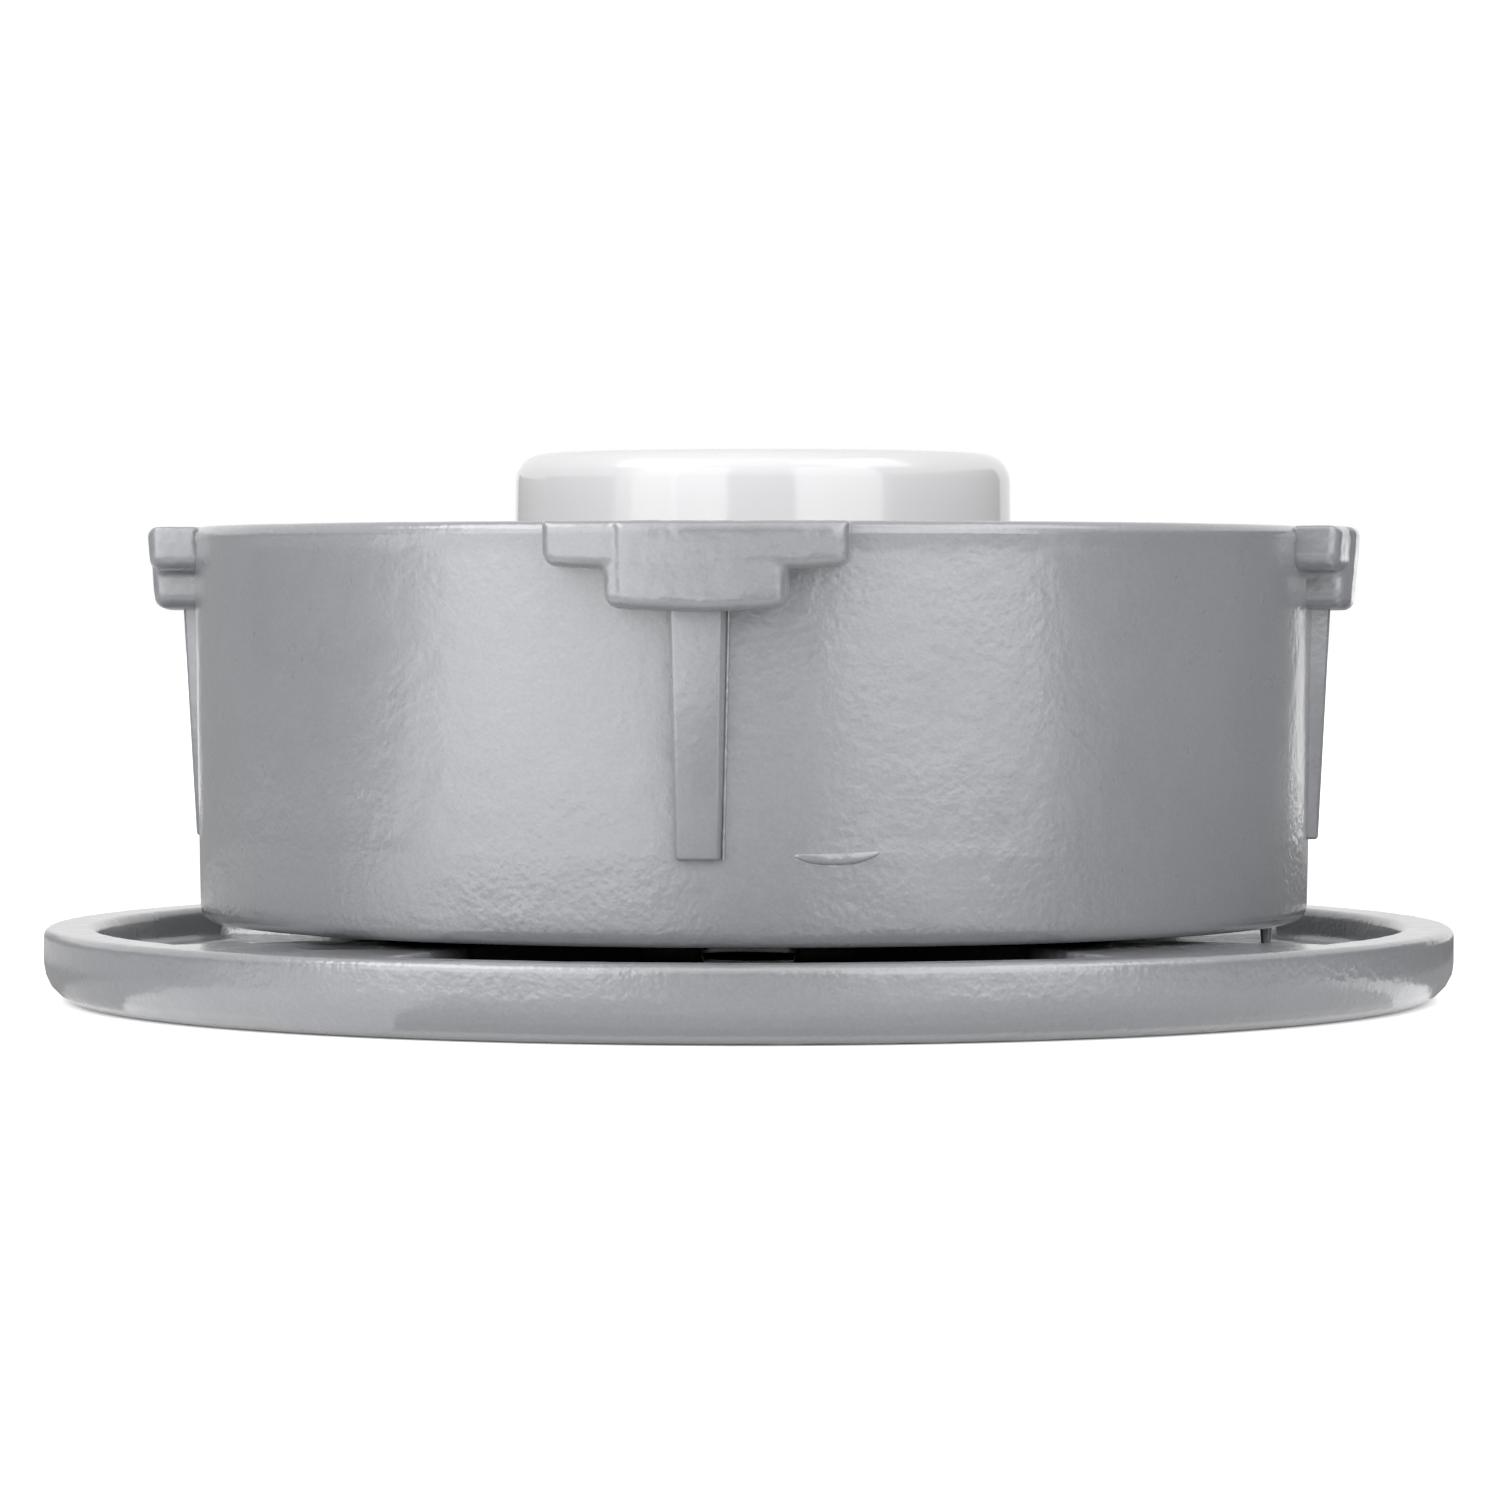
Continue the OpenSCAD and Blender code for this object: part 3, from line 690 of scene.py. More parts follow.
def turned_brass(finish):
    """Brass with tool marks and darker, redder stains."""
    nodes = Nodes("turned_brass")
    marks = rings_about(nodes, PORT_AT, 0.12 * MM)
    stained = [c * share for c, share in zip(finish.brass, (0.74, 0.66, 0.6))]
    nodes.tint(nodes.ramp(nodes.noise(7 * MM, 4.0, 0.6), 0.45, 0.7), finish.brass, stained)
    nodes.roughen(marks, 0.24, 0.36)
    nodes.link("Normal", nodes.bump(marks, 0.006 * MM))
    nodes.set(Metallic=1.0)
    return nodes.material


def screw_steel(finish):
    """Stainless steel with a fine grain."""
    nodes = Nodes("screw_steel")
    grain = nodes.noise(0.25 * MM, 3.0)
    nodes.tint(nodes.ramp(nodes.noise(2 * MM, 3.0), 0.4, 0.65), finish.steel,
               times(finish.steel, 0.86))
    nodes.roughen(grain, 0.26, 0.4)
    nodes.link("Normal", nodes.bump(grain, 0.004 * MM))
    nodes.set(Metallic=1.0)
    return nodes.material


def gasket_rubber(finish):
    """Black rubber with a little dust."""
    nodes = Nodes("gasket_rubber")
    nodes.tint(nodes.ramp(nodes.noise(1.5 * MM, 4.0), 0.5, 0.75), finish.rubber,
               [c + 0.018 for c in finish.rubber])
    nodes.roughen(nodes.noise(0.6 * MM), 0.55, 0.72)
    nodes.link("Normal", nodes.bump(nodes.noise(0.3 * MM, 2.0), 0.01 * MM))
    nodes.set(IOR=1.5)
    return nodes.material


def pressed_fibre(finish):
    """Red fibre with its strands pressed flat."""
    nodes = Nodes("pressed_fibre")
    strands = nodes.noise(0.5 * MM, 4.0, 0.7, (1.0, 4.0, 6.0))
    nodes.tint(nodes.ramp(strands, 0.4, 0.7), finish.fibre, times(finish.fibre, 1.5))
    nodes.roughen(strands, 0.7, 0.85)
    nodes.link("Normal", nodes.bump(strands, 0.02 * MM))
    nodes.set(IOR=1.45)
    return nodes.material


def finish_of(maker):
    """The material that maker makes, made once."""
    name = maker.__name__
    return bpy.data.materials.get(name) or maker(bpy.context.scene.drain_finish)


# ---- The pieces ----

class DRAIN_OT_grate(bpy.types.Operator):
    """Make the cast grate: rim, webs, hub, bars and slots"""
    bl_idname = "drain.grate"
    bl_label = "Grate"

    def bars(self, s):
        """The recess floor, the hub and the webs with every slot and hole cut."""
        inner = s.radius - s.rim_width
        skin, under_rim, sunk = 0.02 * MM, 2.4 * MM, 1 * MM
        made = as_object("grate_bars", disc(inner + under_rim, Vector(), skin, s.floor, 160))
        end = inner + s.rim_width / 3
        half, half_end = s.web_width / 2, s.web_end_width / 2
        half_end += (half_end - half) * (end - inner) / s.web_flare
        flare = inner - s.web_flare

        waist = 6 * MM

        def web():
            return prism([(0, -half, 0), (flare, -half, waist), (end, -half_end, 0),
                          (end, half_end, 0), (flare, half, waist), (0, half, 0)],
                         s.floor - sunk, s.web_top)

        combined(made, disc(s.hub_radius, Vector(), s.floor - sunk, s.web_top, 96), "UNION")
        for i in range(4):
            combined(made, rotated(web(), math.radians(45 + 90 * i)), "UNION")
        at = Vector((s.screw_circle, 0, 0))
        pads = quarters(lambda: disc(s.pad_radius, at, s.floor, grate_high.z, 48), DIAGONAL)
        combined(made, pads, "UNION")
        self.cut_holes(made, s)
        return made

    def cut_holes(self, made, s):
        """Cuts the hub's well and notches, the slots, and the holes for hook, key and screws."""
        low, high = -1 * MM, 12 * MM
        ring = s.hub_radius - s.hub_ring
        combined(made, disc(ring, Vector(), s.floor, high, 96), "DIFFERENCE")

        def notch():
            return block((ring - 3 * MM, -s.notch_width / 2, s.floor),
                         (s.hub_radius + 1 * MM, s.notch_width / 2, high))

        combined(made, quarters(notch), "DIFFERENCE")
        wall, bar = 1.5 * MM, 2.5 * MM
        first = s.hub_radius + wall + s.slot_width / 2
        second = (s.slot_width + bar) / math.sin(s.slot_turn)
        web_side = s.web_width / 2 + wall + s.slot_width / 2
        third = web_side / math.sin(DIAGONAL - 2 * s.slot_turn)

        def straight(start, angle):
            bm = slot(s.slot_end - start, s.slot_width, low, high)
            return rotated(shifted(bm, ((s.slot_end + start) / 2, 0, 0)), angle)

        def curved(angle):
            reach = (s.curved_stop - s.curved_start) * s.curved_radius
            bm = slot(reach, s.curved_width, low, high, 16)
            for vert in bm.verts:
                along = vert.co.x / s.curved_radius + angle
                out = s.curved_radius - vert.co.y
                vert.co = Vector((out * math.cos(along), out * math.sin(along), vert.co.z))
            return tidy(bm)

        mid = (s.curved_start + s.curved_stop) / 2

        def slots():
            bm = straight(first, 0)
            for side in (-1, 1):
                add(bm, straight(second, side * s.slot_turn),
                    straight(third, side * 2 * s.slot_turn), curved(side * mid))
            return bm

        holes = quarters(slots)
        add(holes, disc(s.lift_radius, Vector(), low, high))
        for angle in (45, 225):
            at = Matrix.Rotation(math.radians(angle), 3, "Z") @ Vector((s.key_circle, 0, 0))
            add(holes, disc(s.key_radius, at, low, high, 48))
        for angle in (45, 135, 225, 315):
            at = Matrix.Rotation(math.radians(angle), 3, "Z") @ Vector((s.screw_circle, 0, 0))
            add(holes, disc(s.tapped_radius, at, s.tapped_foot, high, 32))
        combined(made, holes, "DIFFERENCE")

    def rim(self, s):
        """The rim and its round into the recess, with the shallow lumps of a casting."""
        inner = s.radius - s.rim_width
        inside, floor = inner - 1.4 * MM, s.floor - 0.1 * MM
        corners = [(inside, 0, 0), (s.radius, 0, s.face_round),
                   (s.radius, s.thickness, s.rim_round), (inner, s.thickness, s.rim_round),
                   (inner, floor, 1 * MM), (inside, floor, 0)]
        bm = turned(corners, Vector(), s.steps, 0.6 * MM)
        return held_in(lumpy(bm, 0.035 * MM, 2.6 * MM, 3.0, 0.0, s.thickness), -grate_low.x)

    def execute(self, context):
        s = context.scene.drain_grate
        made = cast(self.bars(s), s.grain, 2)
        reshaped(made, lambda bm: add(lumpy(bm, 0.06 * MM, 5 * MM, 1.0, 0.02 * MM, grate_high.z),
                                      self.rim(s)))
        made.name = "cast_grate"
        dress(made, finish_of(cast_paint), GRATE, ["grate_plate"], 60)
        return {"FINISHED"}


class DRAIN_OT_housing(bpy.types.Operator):
    """Make the trap housing: deck, wall, bosses, locking lugs, ribs and post"""
    bl_idname = "drain.housing"
    bl_label = "Trap housing"

    def wall_at(self, s, z):
        """Outside radius of the wall at a height."""
        taper = s.mouth_radius - s.deck_radius
        return s.deck_radius + taper * (z - s.deck) / (s.mouth - s.deck)

    def shell(self, s):
        """Deck and wall, with the mould's parting line and a thick edge at the mouth."""
        deck_top = s.deck + s.deck_thickness
        parting, line = self.wall_at(s, s.parting), 0.45 * MM
        corners = [(0, s.deck, 0), (s.deck_radius, s.deck, s.deck_round),
                   (parting, s.parting - line, 0), (parting + s.parting_height, s.parting, 0),
                   (parting, s.parting + line, 0),
                   (s.mouth_radius - 0.10 * MM, s.mouth - 1.75 * MM, 0),
                   (s.mouth_radius + 0.03 * MM, s.mouth - 1.2 * MM, 0),
                   (s.mouth_radius + s.lip, s.mouth, s.mouth_round),
                   (s.mouth_radius - s.wall, s.mouth, s.mouth_inner_round),
                   (s.deck_radius - s.wall, deck_top, s.inner_round), (0, deck_top, 0)]
        bm = turned(corners, HOUSING_AT, s.steps, 1.6 * MM)
        return lumpy(bm, 0.03 * MM, 7 * MM, 5.0, s.deck, s.mouth)

    def bosses(self, s, screw_circle):
        """The boss around the port and those for the screws."""
        foot = s.deck + s.deck_thickness / 2

        def boss(radius, top, edge, at, steps):
            return turned([(0, foot, 0), (radius, foot, 0), (radius, top, edge), (0, top, 0)],
                          at, steps)

        bm = boss(s.boss_radius, s.boss_top, 0.9 * MM, PORT_AT, 96)
        for at in screw_places(screw_circle):
            add(bm, boss(s.screw_boss_radius, s.screw_boss_top, 0.6 * MM, at, 48))
        return bm

    def holes(self, s, screw_circle):
        """The port with its seat, and the holes for the screws."""
        low, high = s.deck - 1 * MM, s.boss_top + 1 * MM
        bm = turned([(0, low, 0), (s.seat_radius, low, 0), (s.seat_radius, s.seat_top, 0),
                     (s.port_radius, s.seat_top, 0), (s.port_radius, high, 0), (0, high, 0)],
                    PORT_AT, 128)
        for at in screw_places(screw_circle):
            add(bm, disc(s.screw_hole_radius, at, low, high, 48))
        return bm

    def plate(self, s, lug, left, right, foot, set_back):
        """A plate from the height foot to the mouth, with a drafted, curved outer face."""
        start, near = s.mouth_radius - s.wall / 2, 0.1 * MM
        half, mid = (right - left) / 2, (right + left) / 2
        bm = block((start, left, foot), (lug.radius, right, s.mouth - 0.02 * MM))
        bevel_sharp(bm, lug.corner, 3, 40, lambda e: all(v.co.z < foot + near for v in e.verts)
                    and abs(e.verts[0].co.x - e.verts[1].co.x) > MM)
        bevel_sharp(bm, lug.edge, 4, 40,
                    lambda e: all(v.co.x > lug.radius - near for v in e.verts))
        slices = 14
        for i in range(1, slices):
            bmesh.ops.bisect_plane(bm, geom=bm.verts[:] + bm.edges[:] + bm.faces[:], dist=1e-7,
                                   plane_co=(0, mid + half * (2 * i / slices - 1), 0),
                                   plane_no=(0, 1, 0))
        for vert in bm.verts:
            if vert.co.x > start + MM:
                reach = lug.radius - set_back - (s.mouth - vert.co.z) * math.tan(lug.draft)
                vert.co.x += math.sqrt(reach ** 2 - vert.co.y ** 2) - lug.radius
            if vert.co.z < foot + lug.edge + near:
                vert.co.z -= lug.bow * (1 - ((vert.co.y - mid) / half) ** 2)
        return bm

    def lug(self, s, lug):
        """The cast T of one lug, along +X, with a step in its face near the block's left edge."""
        half, block_half = lug.width / 2, lug.block_width / 2
        crease = lug.crease - block_half
        step_foot = s.mouth - lug.step
        block_foot = step_foot - lug.block
        bm = add(self.plate(s, lug, -half, half, step_foot, lug.set_back),
                 self.plate(s, lug, -block_half, block_half, block_foot, lug.set_back),
                 self.plate(s, lug, crease, half, step_foot, 0),
                 self.plate(s, lug, crease, block_half, block_foot, 0))
        made = cast(as_object("lug", bm), lug.grain, lug.softness)
        bm = bmesh.new()
        bm.from_mesh(made.data)
        discard(made)
        return bm

    def rib(self, s, lug):
        """The tapered rib under a lug, with a fine seam along its right-hand side."""
        foot, top = lug.rib_foot, s.mouth - lug.step - lug.block + 0.8 * MM
        wall_foot, wall_top = self.wall_at(s, foot), self.wall_at(s, top)
        root, face = wall_foot - 0.3 * MM, wall_top + lug.rib_out
        half, half_tip = lug.rib_width / 2, lug.rib_tip / 2
        narrow = half - half_tip
        bm = block((root, -half, foot), (face, half, top),
                   [(lambda c: c.x > root + MM and c.y > 0, (0, -lug.flank, 0)),
                    (lambda c: c.x > root + MM and c.y < 0, (0, lug.left_flank, 0)),
                    (lambda c: c.z > top - MM and c.x < root + MM, (wall_top - wall_foot, 0, 0)),
                    (lambda c: c.z < foot + MM and c.y < 0, (0, narrow, 0)),
                    (lambda c: c.z < foot + MM and c.y > 0, (0, -narrow, 0)),
                    (lambda c: c.z < foot + MM and c.x > root + MM,
                     (wall_foot + lug.rib_tip_out - face, 0, 0))])
        front = [e for e in bm.edges if all(v.co.x > wall_foot + 0.3 * MM for v in e.verts)]
        tip = [e for e in front if all(v.co.z < foot + MM for v in e.verts)]
        sides = [e for e in front if abs(e.verts[0].co.z - e.verts[1].co.z) > 5 * MM]
        ends = [e for e in bm.edges if all(v.co.z < foot + MM for v in e.verts) and e not in tip
                and abs(e.verts[0].co.x - e.verts[1].co.x) > 0.3 * MM]
        bmesh.ops.bevel(bm, geom=sides + tip + ends, offset=0.32 * MM, offset_type="OFFSET",
                        segments=4, profile=0.5, affect="EDGES", material=-1)
        seam, beads = bmesh.new(), 70
        bmesh.ops.create_cone(seam, cap_ends=True, segments=8, radius1=lug.seam,
                              radius2=lug.seam, depth=top - foot)
        upright = [e for e in seam.edges if e.calc_length() > 5 * MM]
        bmesh.ops.subdivide_edges(seam, edges=upright, cuts=beads)
        for vert in seam.verts:
            lift = vert.co.z / (top - foot) + 0.5
            height = foot + lift * (top - foot)
            swell = 1 + 0.75 * noise.noise(Vector((0, 0, height / (0.55 * MM))))
            vert.co.x = vert.co.x * swell + self.wall_at(s, height) + 0.06 * MM
            vert.co.y = vert.co.y * swell + half_tip + narrow * lift + 0.04 * MM
            vert.co.z = height
        return add(bm, seam)

    def post(self, s, lug, floor):
        """The post between the deck and the grate's floor, thinner at its foot."""
        thick, thin = lug.post_top / 2, lug.post_foot / 2
        at, half = lug.post_circle, lug.post_width / 2
        bm = block((at - thick, -half, floor + 0.005 * MM), (at + thick, half, s.deck + 0.4 * MM),
                   [(lambda c: c.z < s.deck - MM and c.x > at, (thin - thick, 0, 0)),
                    (lambda c: c.z < s.deck - MM and c.x < at, (thick - thin, 0, 0))])
        return bevel_sharp(bm, 0.34 * MM, 4)

    def flash(self, s):
        """A shallow, bent dash of flash on the parting line."""
        thick, half, tall = 0.24 * MM, 3.9 * MM, 0.55 * MM
        drop, sag, slant, out = 0.25 * MM, 0.42 * MM, 0.12 * MM, 0.01 * MM
        bm = bmesh.new()
        bmesh.ops.create_uvsphere(bm, u_segments=24, v_segments=16, radius=1.0)
        bmesh.ops.scale(bm, verts=bm.verts[:], vec=(thick, half, tall))
        radius = self.wall_at(s, s.parting)
        for vert in bm.verts:
            bend = vert.co.y / half
            height = s.parting - drop + vert.co.z + sag * bend * bend + slant * bend
            angle = math.radians(-90 + 7.9) + vert.co.y / radius
            reach = radius + vert.co.x + out
            vert.co = Vector((reach * math.cos(angle), reach * math.sin(angle), height))
        return tidy(bm)

    def execute(self, context):
        scene = context.scene
        s, lug, grate = scene.drain_housing, scene.drain_lugs, scene.drain_grate
        made = as_object("cast_housing", self.shell(s))
        combined(made, self.bosses(s, grate.screw_circle), "UNION")
        combined(made, self.holes(s, grate.screw_circle), "DIFFERENCE")

        trim = add(self.lug(s, lug), self.rib(s, lug))
        post = rotated(self.post(s, lug, grate.floor), lug.turn)
        extras = add(quarters(trim.copy, lug.turn), post, self.flash(s))
        trim.free()
        lumpy(shifted(extras, HOUSING_AT), 0.045 * MM, 2.2 * MM, 7.0, grate.floor,
              s.mouth - 0.01 * MM)
        held_in(extras, lug.radius, HOUSING_AT)
        reshaped(made, lambda bm: add(bm, extras))
        dress(made, finish_of(cast_paint), GRATE, ["trap_housing"], 42)
        return {"FINISHED"}


class DRAIN_OT_cup(bpy.types.Operator):
    """Make the white trap cup"""
    bl_idname = "drain.cup"
    bl_label = "Trap cup"

    def execute(self, context):
        s = context.scene.drain_cup
        inner_end = s.end - s.end_thickness
        hollow = 0.25 * MM
        corners = [(s.rim_radius - s.wall, s.rim, s.rim_round),
                   (s.rim_radius, s.rim, s.rim_round * 1.6), (s.end_radius, s.end, s.end_round),
                   (s.gate, s.end, 0.25 * MM), (s.gate * 0.8, s.end - hollow, 0.15 * MM),
                   (0, s.end - hollow, 0), (0, inner_end, 0),
                   (s.end_radius - s.wall, inner_end, 1 * MM)]
        made = as_object("white_cup", turned(corners, PORT_AT, s.steps, 2 * MM))
        dress(made, finish_of(gloss_plastic), CUP, ["trap_cup"], 50)
        return {"FINISHED"}


class DRAIN_OT_tube(bpy.types.Operator):
    """Make the dip tube with its gasket, slip washer and lock nut"""
    bl_idname = "drain.tube"
    bl_label = "Dip tube and rings"

    def tube(self, s):
        """The tube with its flange, its thread for the nut and its groove for the spider."""
        edge, fine = 0.4 * MM, 0.1 * MM
        pitch, depth = 1.25 * MM, 0.45 * MM
        corners = [(s.bore, s.foot, edge), (s.flange, s.foot, edge),
                   (s.flange, s.flange_top, edge), (s.radius, s.flange_top, 0.2 * MM)]
        z = s.washer_foot - 0.9 * MM
        while z < s.nut_top + 4 * MM:
            corners += [(s.radius, z, 0), (s.radius - depth, z + 0.5 * MM, 0),
                        (s.radius, z + 1 * MM, 0)]
            z += pitch
        corners += [(s.radius, s.collar_foot, fine), (s.groove, s.collar_foot, fine),
                    (s.groove, s.collar_top, fine), (s.radius, s.collar_top, fine),
                    (s.radius, s.end, edge), (s.bore, s.end, edge)]
        return turned(corners, PORT_AT, 128)

    def nut(self, s):
        """A thin hexagon nut with turned chamfers on both faces."""
        made = as_object("lock_nut", hexagon(s.nut_flats, PORT_AT, s.washer_top, s.nut_top))
        wide, drop = s.nut_flats / math.cos(math.radians(30)) + 0.4 * MM, 0.9 * MM
        face, past = s.nut_flats - 0.2 * MM, 0.5 * MM
        # The chamfers' cones run on past the nut's faces, so that no two faces lie on each other.
        tip = face - past * (wide - face) / drop
        low, high = s.washer_top - past, s.nut_top + past
        cone = turned([(0, low, 0), (tip, low, 0), (wide, s.washer_top + drop, 0),
                       (wide, s.nut_top - drop, 0), (tip, high, 0), (0, high, 0)], PORT_AT, 96)
        combined(made, cone, "INTERSECT")
        bore, mouth, lead = s.radius + 0.05 * MM, s.radius + 1.05 * MM, 0.5 * MM
        cutter = turned([(0, s.washer_top - MM, 0), (mouth, s.washer_top - MM, 0),
                         (bore, s.washer_top + lead, 0), (bore, s.nut_top - lead, 0),
                         (mouth, s.nut_top + MM, 0), (0, s.nut_top + MM, 0)], PORT_AT, 96)
        combined(made, cutter, "DIFFERENCE")
        edges = made.modifiers.new("edges", "BEVEL")
        edges.width, edges.segments, edges.limit_method = 0.22 * MM, 2, "ANGLE"
        edges.angle_limit = math.radians(24)
        return settled(made)

    def execute(self, context):
        s = context.scene.drain_tube
        brass = finish_of(turned_brass)
        dress(as_object("brass_tube", self.tube(s)), brass, GRATE, ["dip_tube"], 35)
        dress(self.nut(s), brass, GRATE, ["tube_lock_nut"], 30)
        hole = s.radius + 0.3 * MM
        middle_height, face = (s.flange_top + s.gasket_top) / 2, s.flange - 0.1 * MM
        gasket = turned([(hole, s.flange_top, 0.15 * MM), (face, s.flange_top, 0.2 * MM),
                         (s.flange, middle_height, 0.6 * MM), (face, s.gasket_top, 0.2 * MM),
                         (hole, s.gasket_top, 0.15 * MM)], PORT_AT, 128)
        dress(as_object("rubber_gasket", gasket), finish_of(gasket_rubber), GRATE,
              ["tube_gasket"])
        rounds = (0.1 * MM, 0.12 * MM, 0.12 * MM, 0.1 * MM)
        corners = ring_corners(hole, s.washer, s.washer_foot, s.washer_top, rounds)
        ring = turned(corners, PORT_AT, 128)
        dress(as_object("fibre_ring", ring), finish_of(pressed_fibre), GRATE,
              ["tube_slip_washer"])
        return {"FINISHED"}


class DRAIN_OT_spider(bpy.types.Operator):
    """Make the spider that guides and carries the cup"""
    bl_idname = "drain.spider"
    bl_label = "Cup spider"

    def vane(self, s, cup):
        """One vane, whose outer edge follows the cup's leaning wall."""
        def guide(z):
            lean = (cup.rim_radius - cup.end_radius) * (z - cup.rim) / (cup.end - cup.rim)
            return cup.rim_radius - cup.wall - lean - 0.1 * MM

        shoulder, root = s.vane_top - s.vane_bevel, s.groove + 0.9 * MM
        outline = [(root, s.collar_foot, 0), (s.collar, s.vane_foot, 0.2 * MM),
                   (guide(s.vane_foot), s.vane_foot, 0.5 * MM),
                   (guide(shoulder), shoulder, 0.6 * MM),
                   (guide(shoulder) - s.vane_bevel, s.vane_top, 0.6 * MM),
                   (s.collar, s.vane_top, 0.8 * MM), (s.collar, s.collar_top, 0.3 * MM),
                   (root, s.collar_top, 0)]
        bm = filled([(Vector((r, -s.vane_thickness / 2, z)), edge) for r, z, edge in outline])
        return bevel_sharp(extruded(bm, (0, s.vane_thickness, 0)), 0.22 * MM, 2, 60)

    def execute(self, context):
        s, cup = context.scene.drain_tube, context.scene.drain_cup
        corners = ring_corners(s.groove + 0.05 * MM, s.collar, s.collar_foot, s.collar_top,
                               [0.25 * MM] * 4)
        collar = turned(corners, Vector(), 128)
        bm = shifted(add(collar, quarters(lambda: self.vane(s, cup), DIAGONAL)), PORT_AT)
        dress(as_object("guide_spider", bm), finish_of(guide_plastic), GRATE,
              ["cup_spider"], 35)
        return {"FINISHED"}


def screw_places(circle):
    """Where the four screws are, from number 1 to number 4."""
    return [Vector((circle * math.cos(a), circle * math.sin(a), 0))
            for a in (math.radians(45 + 90 * i) for i in range(4))]


class DRAIN_OT_screws(bpy.types.Operator):
    """Make the four deck screws with their flat and spring washers"""
    bl_idname = "drain.screws"
    bl_label = "Screws and washers"

    def screw(self, s, node):
        """A socket head screw with its thread."""
        low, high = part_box(node)
        at = middle(node)
        head_foot = high.z - s.head_height
        root = s.shank - 0.45 * MM
        corners = [(0, low.z, 0), (root, low.z, 0)]
        z = low.z + 0.4 * MM
        while z < head_foot - 2.4 * s.pitch:
            corners += [(root, z, 0), (s.shank, z + 0.36 * s.pitch, 0),
                        (s.shank, z + 0.5 * s.pitch, 0)]
            z += s.pitch
        corners += [(root, z, 0), (s.shank, z + 0.4 * MM, 0), (s.shank, head_foot, 0),
                    (s.head, head_foot, 0.2 * MM), (s.head, high.z, 0.4 * MM), (0, high.z, 0)]
        made = as_object("screw_" + node[-1], turned(corners, at, 48))
        key = hexagon(s.socket, at, high.z - s.socket_depth, high.z + MM)
        combined(made, key, "DIFFERENCE")
        return made

    def ring(self, s, node):
        """A flat washer, rounder on its upper face."""
        low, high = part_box(node)
        edge = 0.12 * MM
        outer = (high.y - low.y) / 2
        corners = ring_corners(s.hole, outer, low.z, high.z, (edge, edge, edge * 2, edge))
        return turned(corners, middle(node), 64)

    def split_ring(self, s, node):
        """A spring washer: a small bar wound nearly once round, rising as it goes."""
        low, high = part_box(node)
        at = middle(node)
        outer, edge = (high.y - low.y) / 2, 0.1 * MM
        rise, steps = 0.1 * MM, 60
        gap = s.split / s.hole
        top = high.z - rise
        corners = [(s.hole, low.z), (outer, low.z), (outer, top), (s.hole, top)]
        bm = filled([(Vector((r, 0, z)), edge) for r, z in corners])
        bmesh.ops.spin(bm, geom=bm.faces[:] + bm.edges[:] + bm.verts[:], cent=(0, 0, 0), axis=UP,
                       dvec=UP * (rise / steps), angle=2 * math.pi - gap, steps=steps,
                       use_duplicate=False)
        inward = math.atan2(-at.y, -at.x)
        return shifted(rotated(tidy(bm), inward + gap / 2), at)

    def execute(self, context):
        s = context.scene.drain_fasteners
        steel = finish_of(screw_steel)
        for i in "1234":
            made = self.screw(s, "deck_screw_" + i)
            dress(made, steel, GRATE, ["deck_screw_" + i], 35)
            made = as_object("washer_" + i, self.ring(s, "flat_washer_" + i))
            dress(made, steel, GRATE, ["flat_washer_" + i], 40)
            made = as_object("spring_ring_" + i, self.split_ring(s, "spring_washer_" + i))
            dress(made, steel, GRATE, ["spring_washer_" + i], 40)
        return {"FINISHED"}


# The stage's lights and cards, in metres and degrees. Azimuth 0 is the camera's side and rises
# to the right. Left softboxes: name, azimuth, width, share of the left light.
LEFT_SOFTBOXES = (("left_edge", -66, 0.06, 0.42), ("left_outer", -51, 0.17, 1.04),
                  ("left_inner", -28.5, 0.195, 0.88))
SOFTBOX_AWAY, SOFTBOX_FOOT, SOFTBOX_TOP = 0.44, 0.055, 0.44
# Cards: name, azimuth, distance, height, width, length, shade.
UPRIGHT_CARDS = (
    ("camera_card", 0, 0.8, 0.14, 0.45, 0.32, 0.0),
    ("left_card", -96, 0.46, 0.06, 0.40, 0.16, 0.22),
    ("left_back_card", -138, 0.46, 0.04, 0.34, 0.12, 0.35),
    ("right_card", 101, 0.46, 0.10, 0.80, 0.24, 0.13),
)
FLAT_CARDS = (
    ("left_floor_card", -98, 0.33, 0.0012, 0.30, 0.48, 0.62),
    ("right_floor_card", 98, 0.33, 0.0012, 0.40, 0.48, 0.16),
    ("front_card", 0, 0.168, 0.0014, 0.12, 0.11, 0.1),
)
# Sheets that carry the lights' shine over the bench: the last number is a share of the light.
LEFT_SHEETS = (("left_sheet", -42, 0.30, 0.0015, 0.28, 0.28, 1.0),
               ("left_near_sheet", -42, 0.13, 0.0015, 0.13, 0.06, 0.35))
RIGHT_SHEETS = (("right_sheet", 35, 0.33, 0.0015, 0.26, 0.22, 0.4),)
OVERHEADS = (("left_overhead", -64, 0.46, 0.6, 0.48, 0.5, 1.0),
             ("mid_overhead", 0, 0.3, 0.6, 0.48, 0.5, 0.35),
             ("right_overhead", 64, 0.46, 0.6, 0.48, 0.5, 0.7))
# Aprons round the grate's foot: name, first and last azimuth, outer radius, shade.
APRONS = (("left_apron", -179, -78, 0.50, 0.36), ("left_side_apron", -78, -60, 0.11, 0.62),
          ("right_apron", 76, 179, 0.50, 0.34), ("front_apron", -28, 64, 0.11, 0.78))
APRON_INNER, APRON_HEIGHT = 0.0684, 0.0004
# The bench, and the distances from the grate's middle at which its glow starts, eases and grows.
BENCH_RADIUS, BENCH_HEIGHT = 4.0, -0.00002
GLOW_START, GLOW_EASE, GLOW_FAR = (0.0655, 0.069), (0.1, 0.18), (0.12, 0.45)


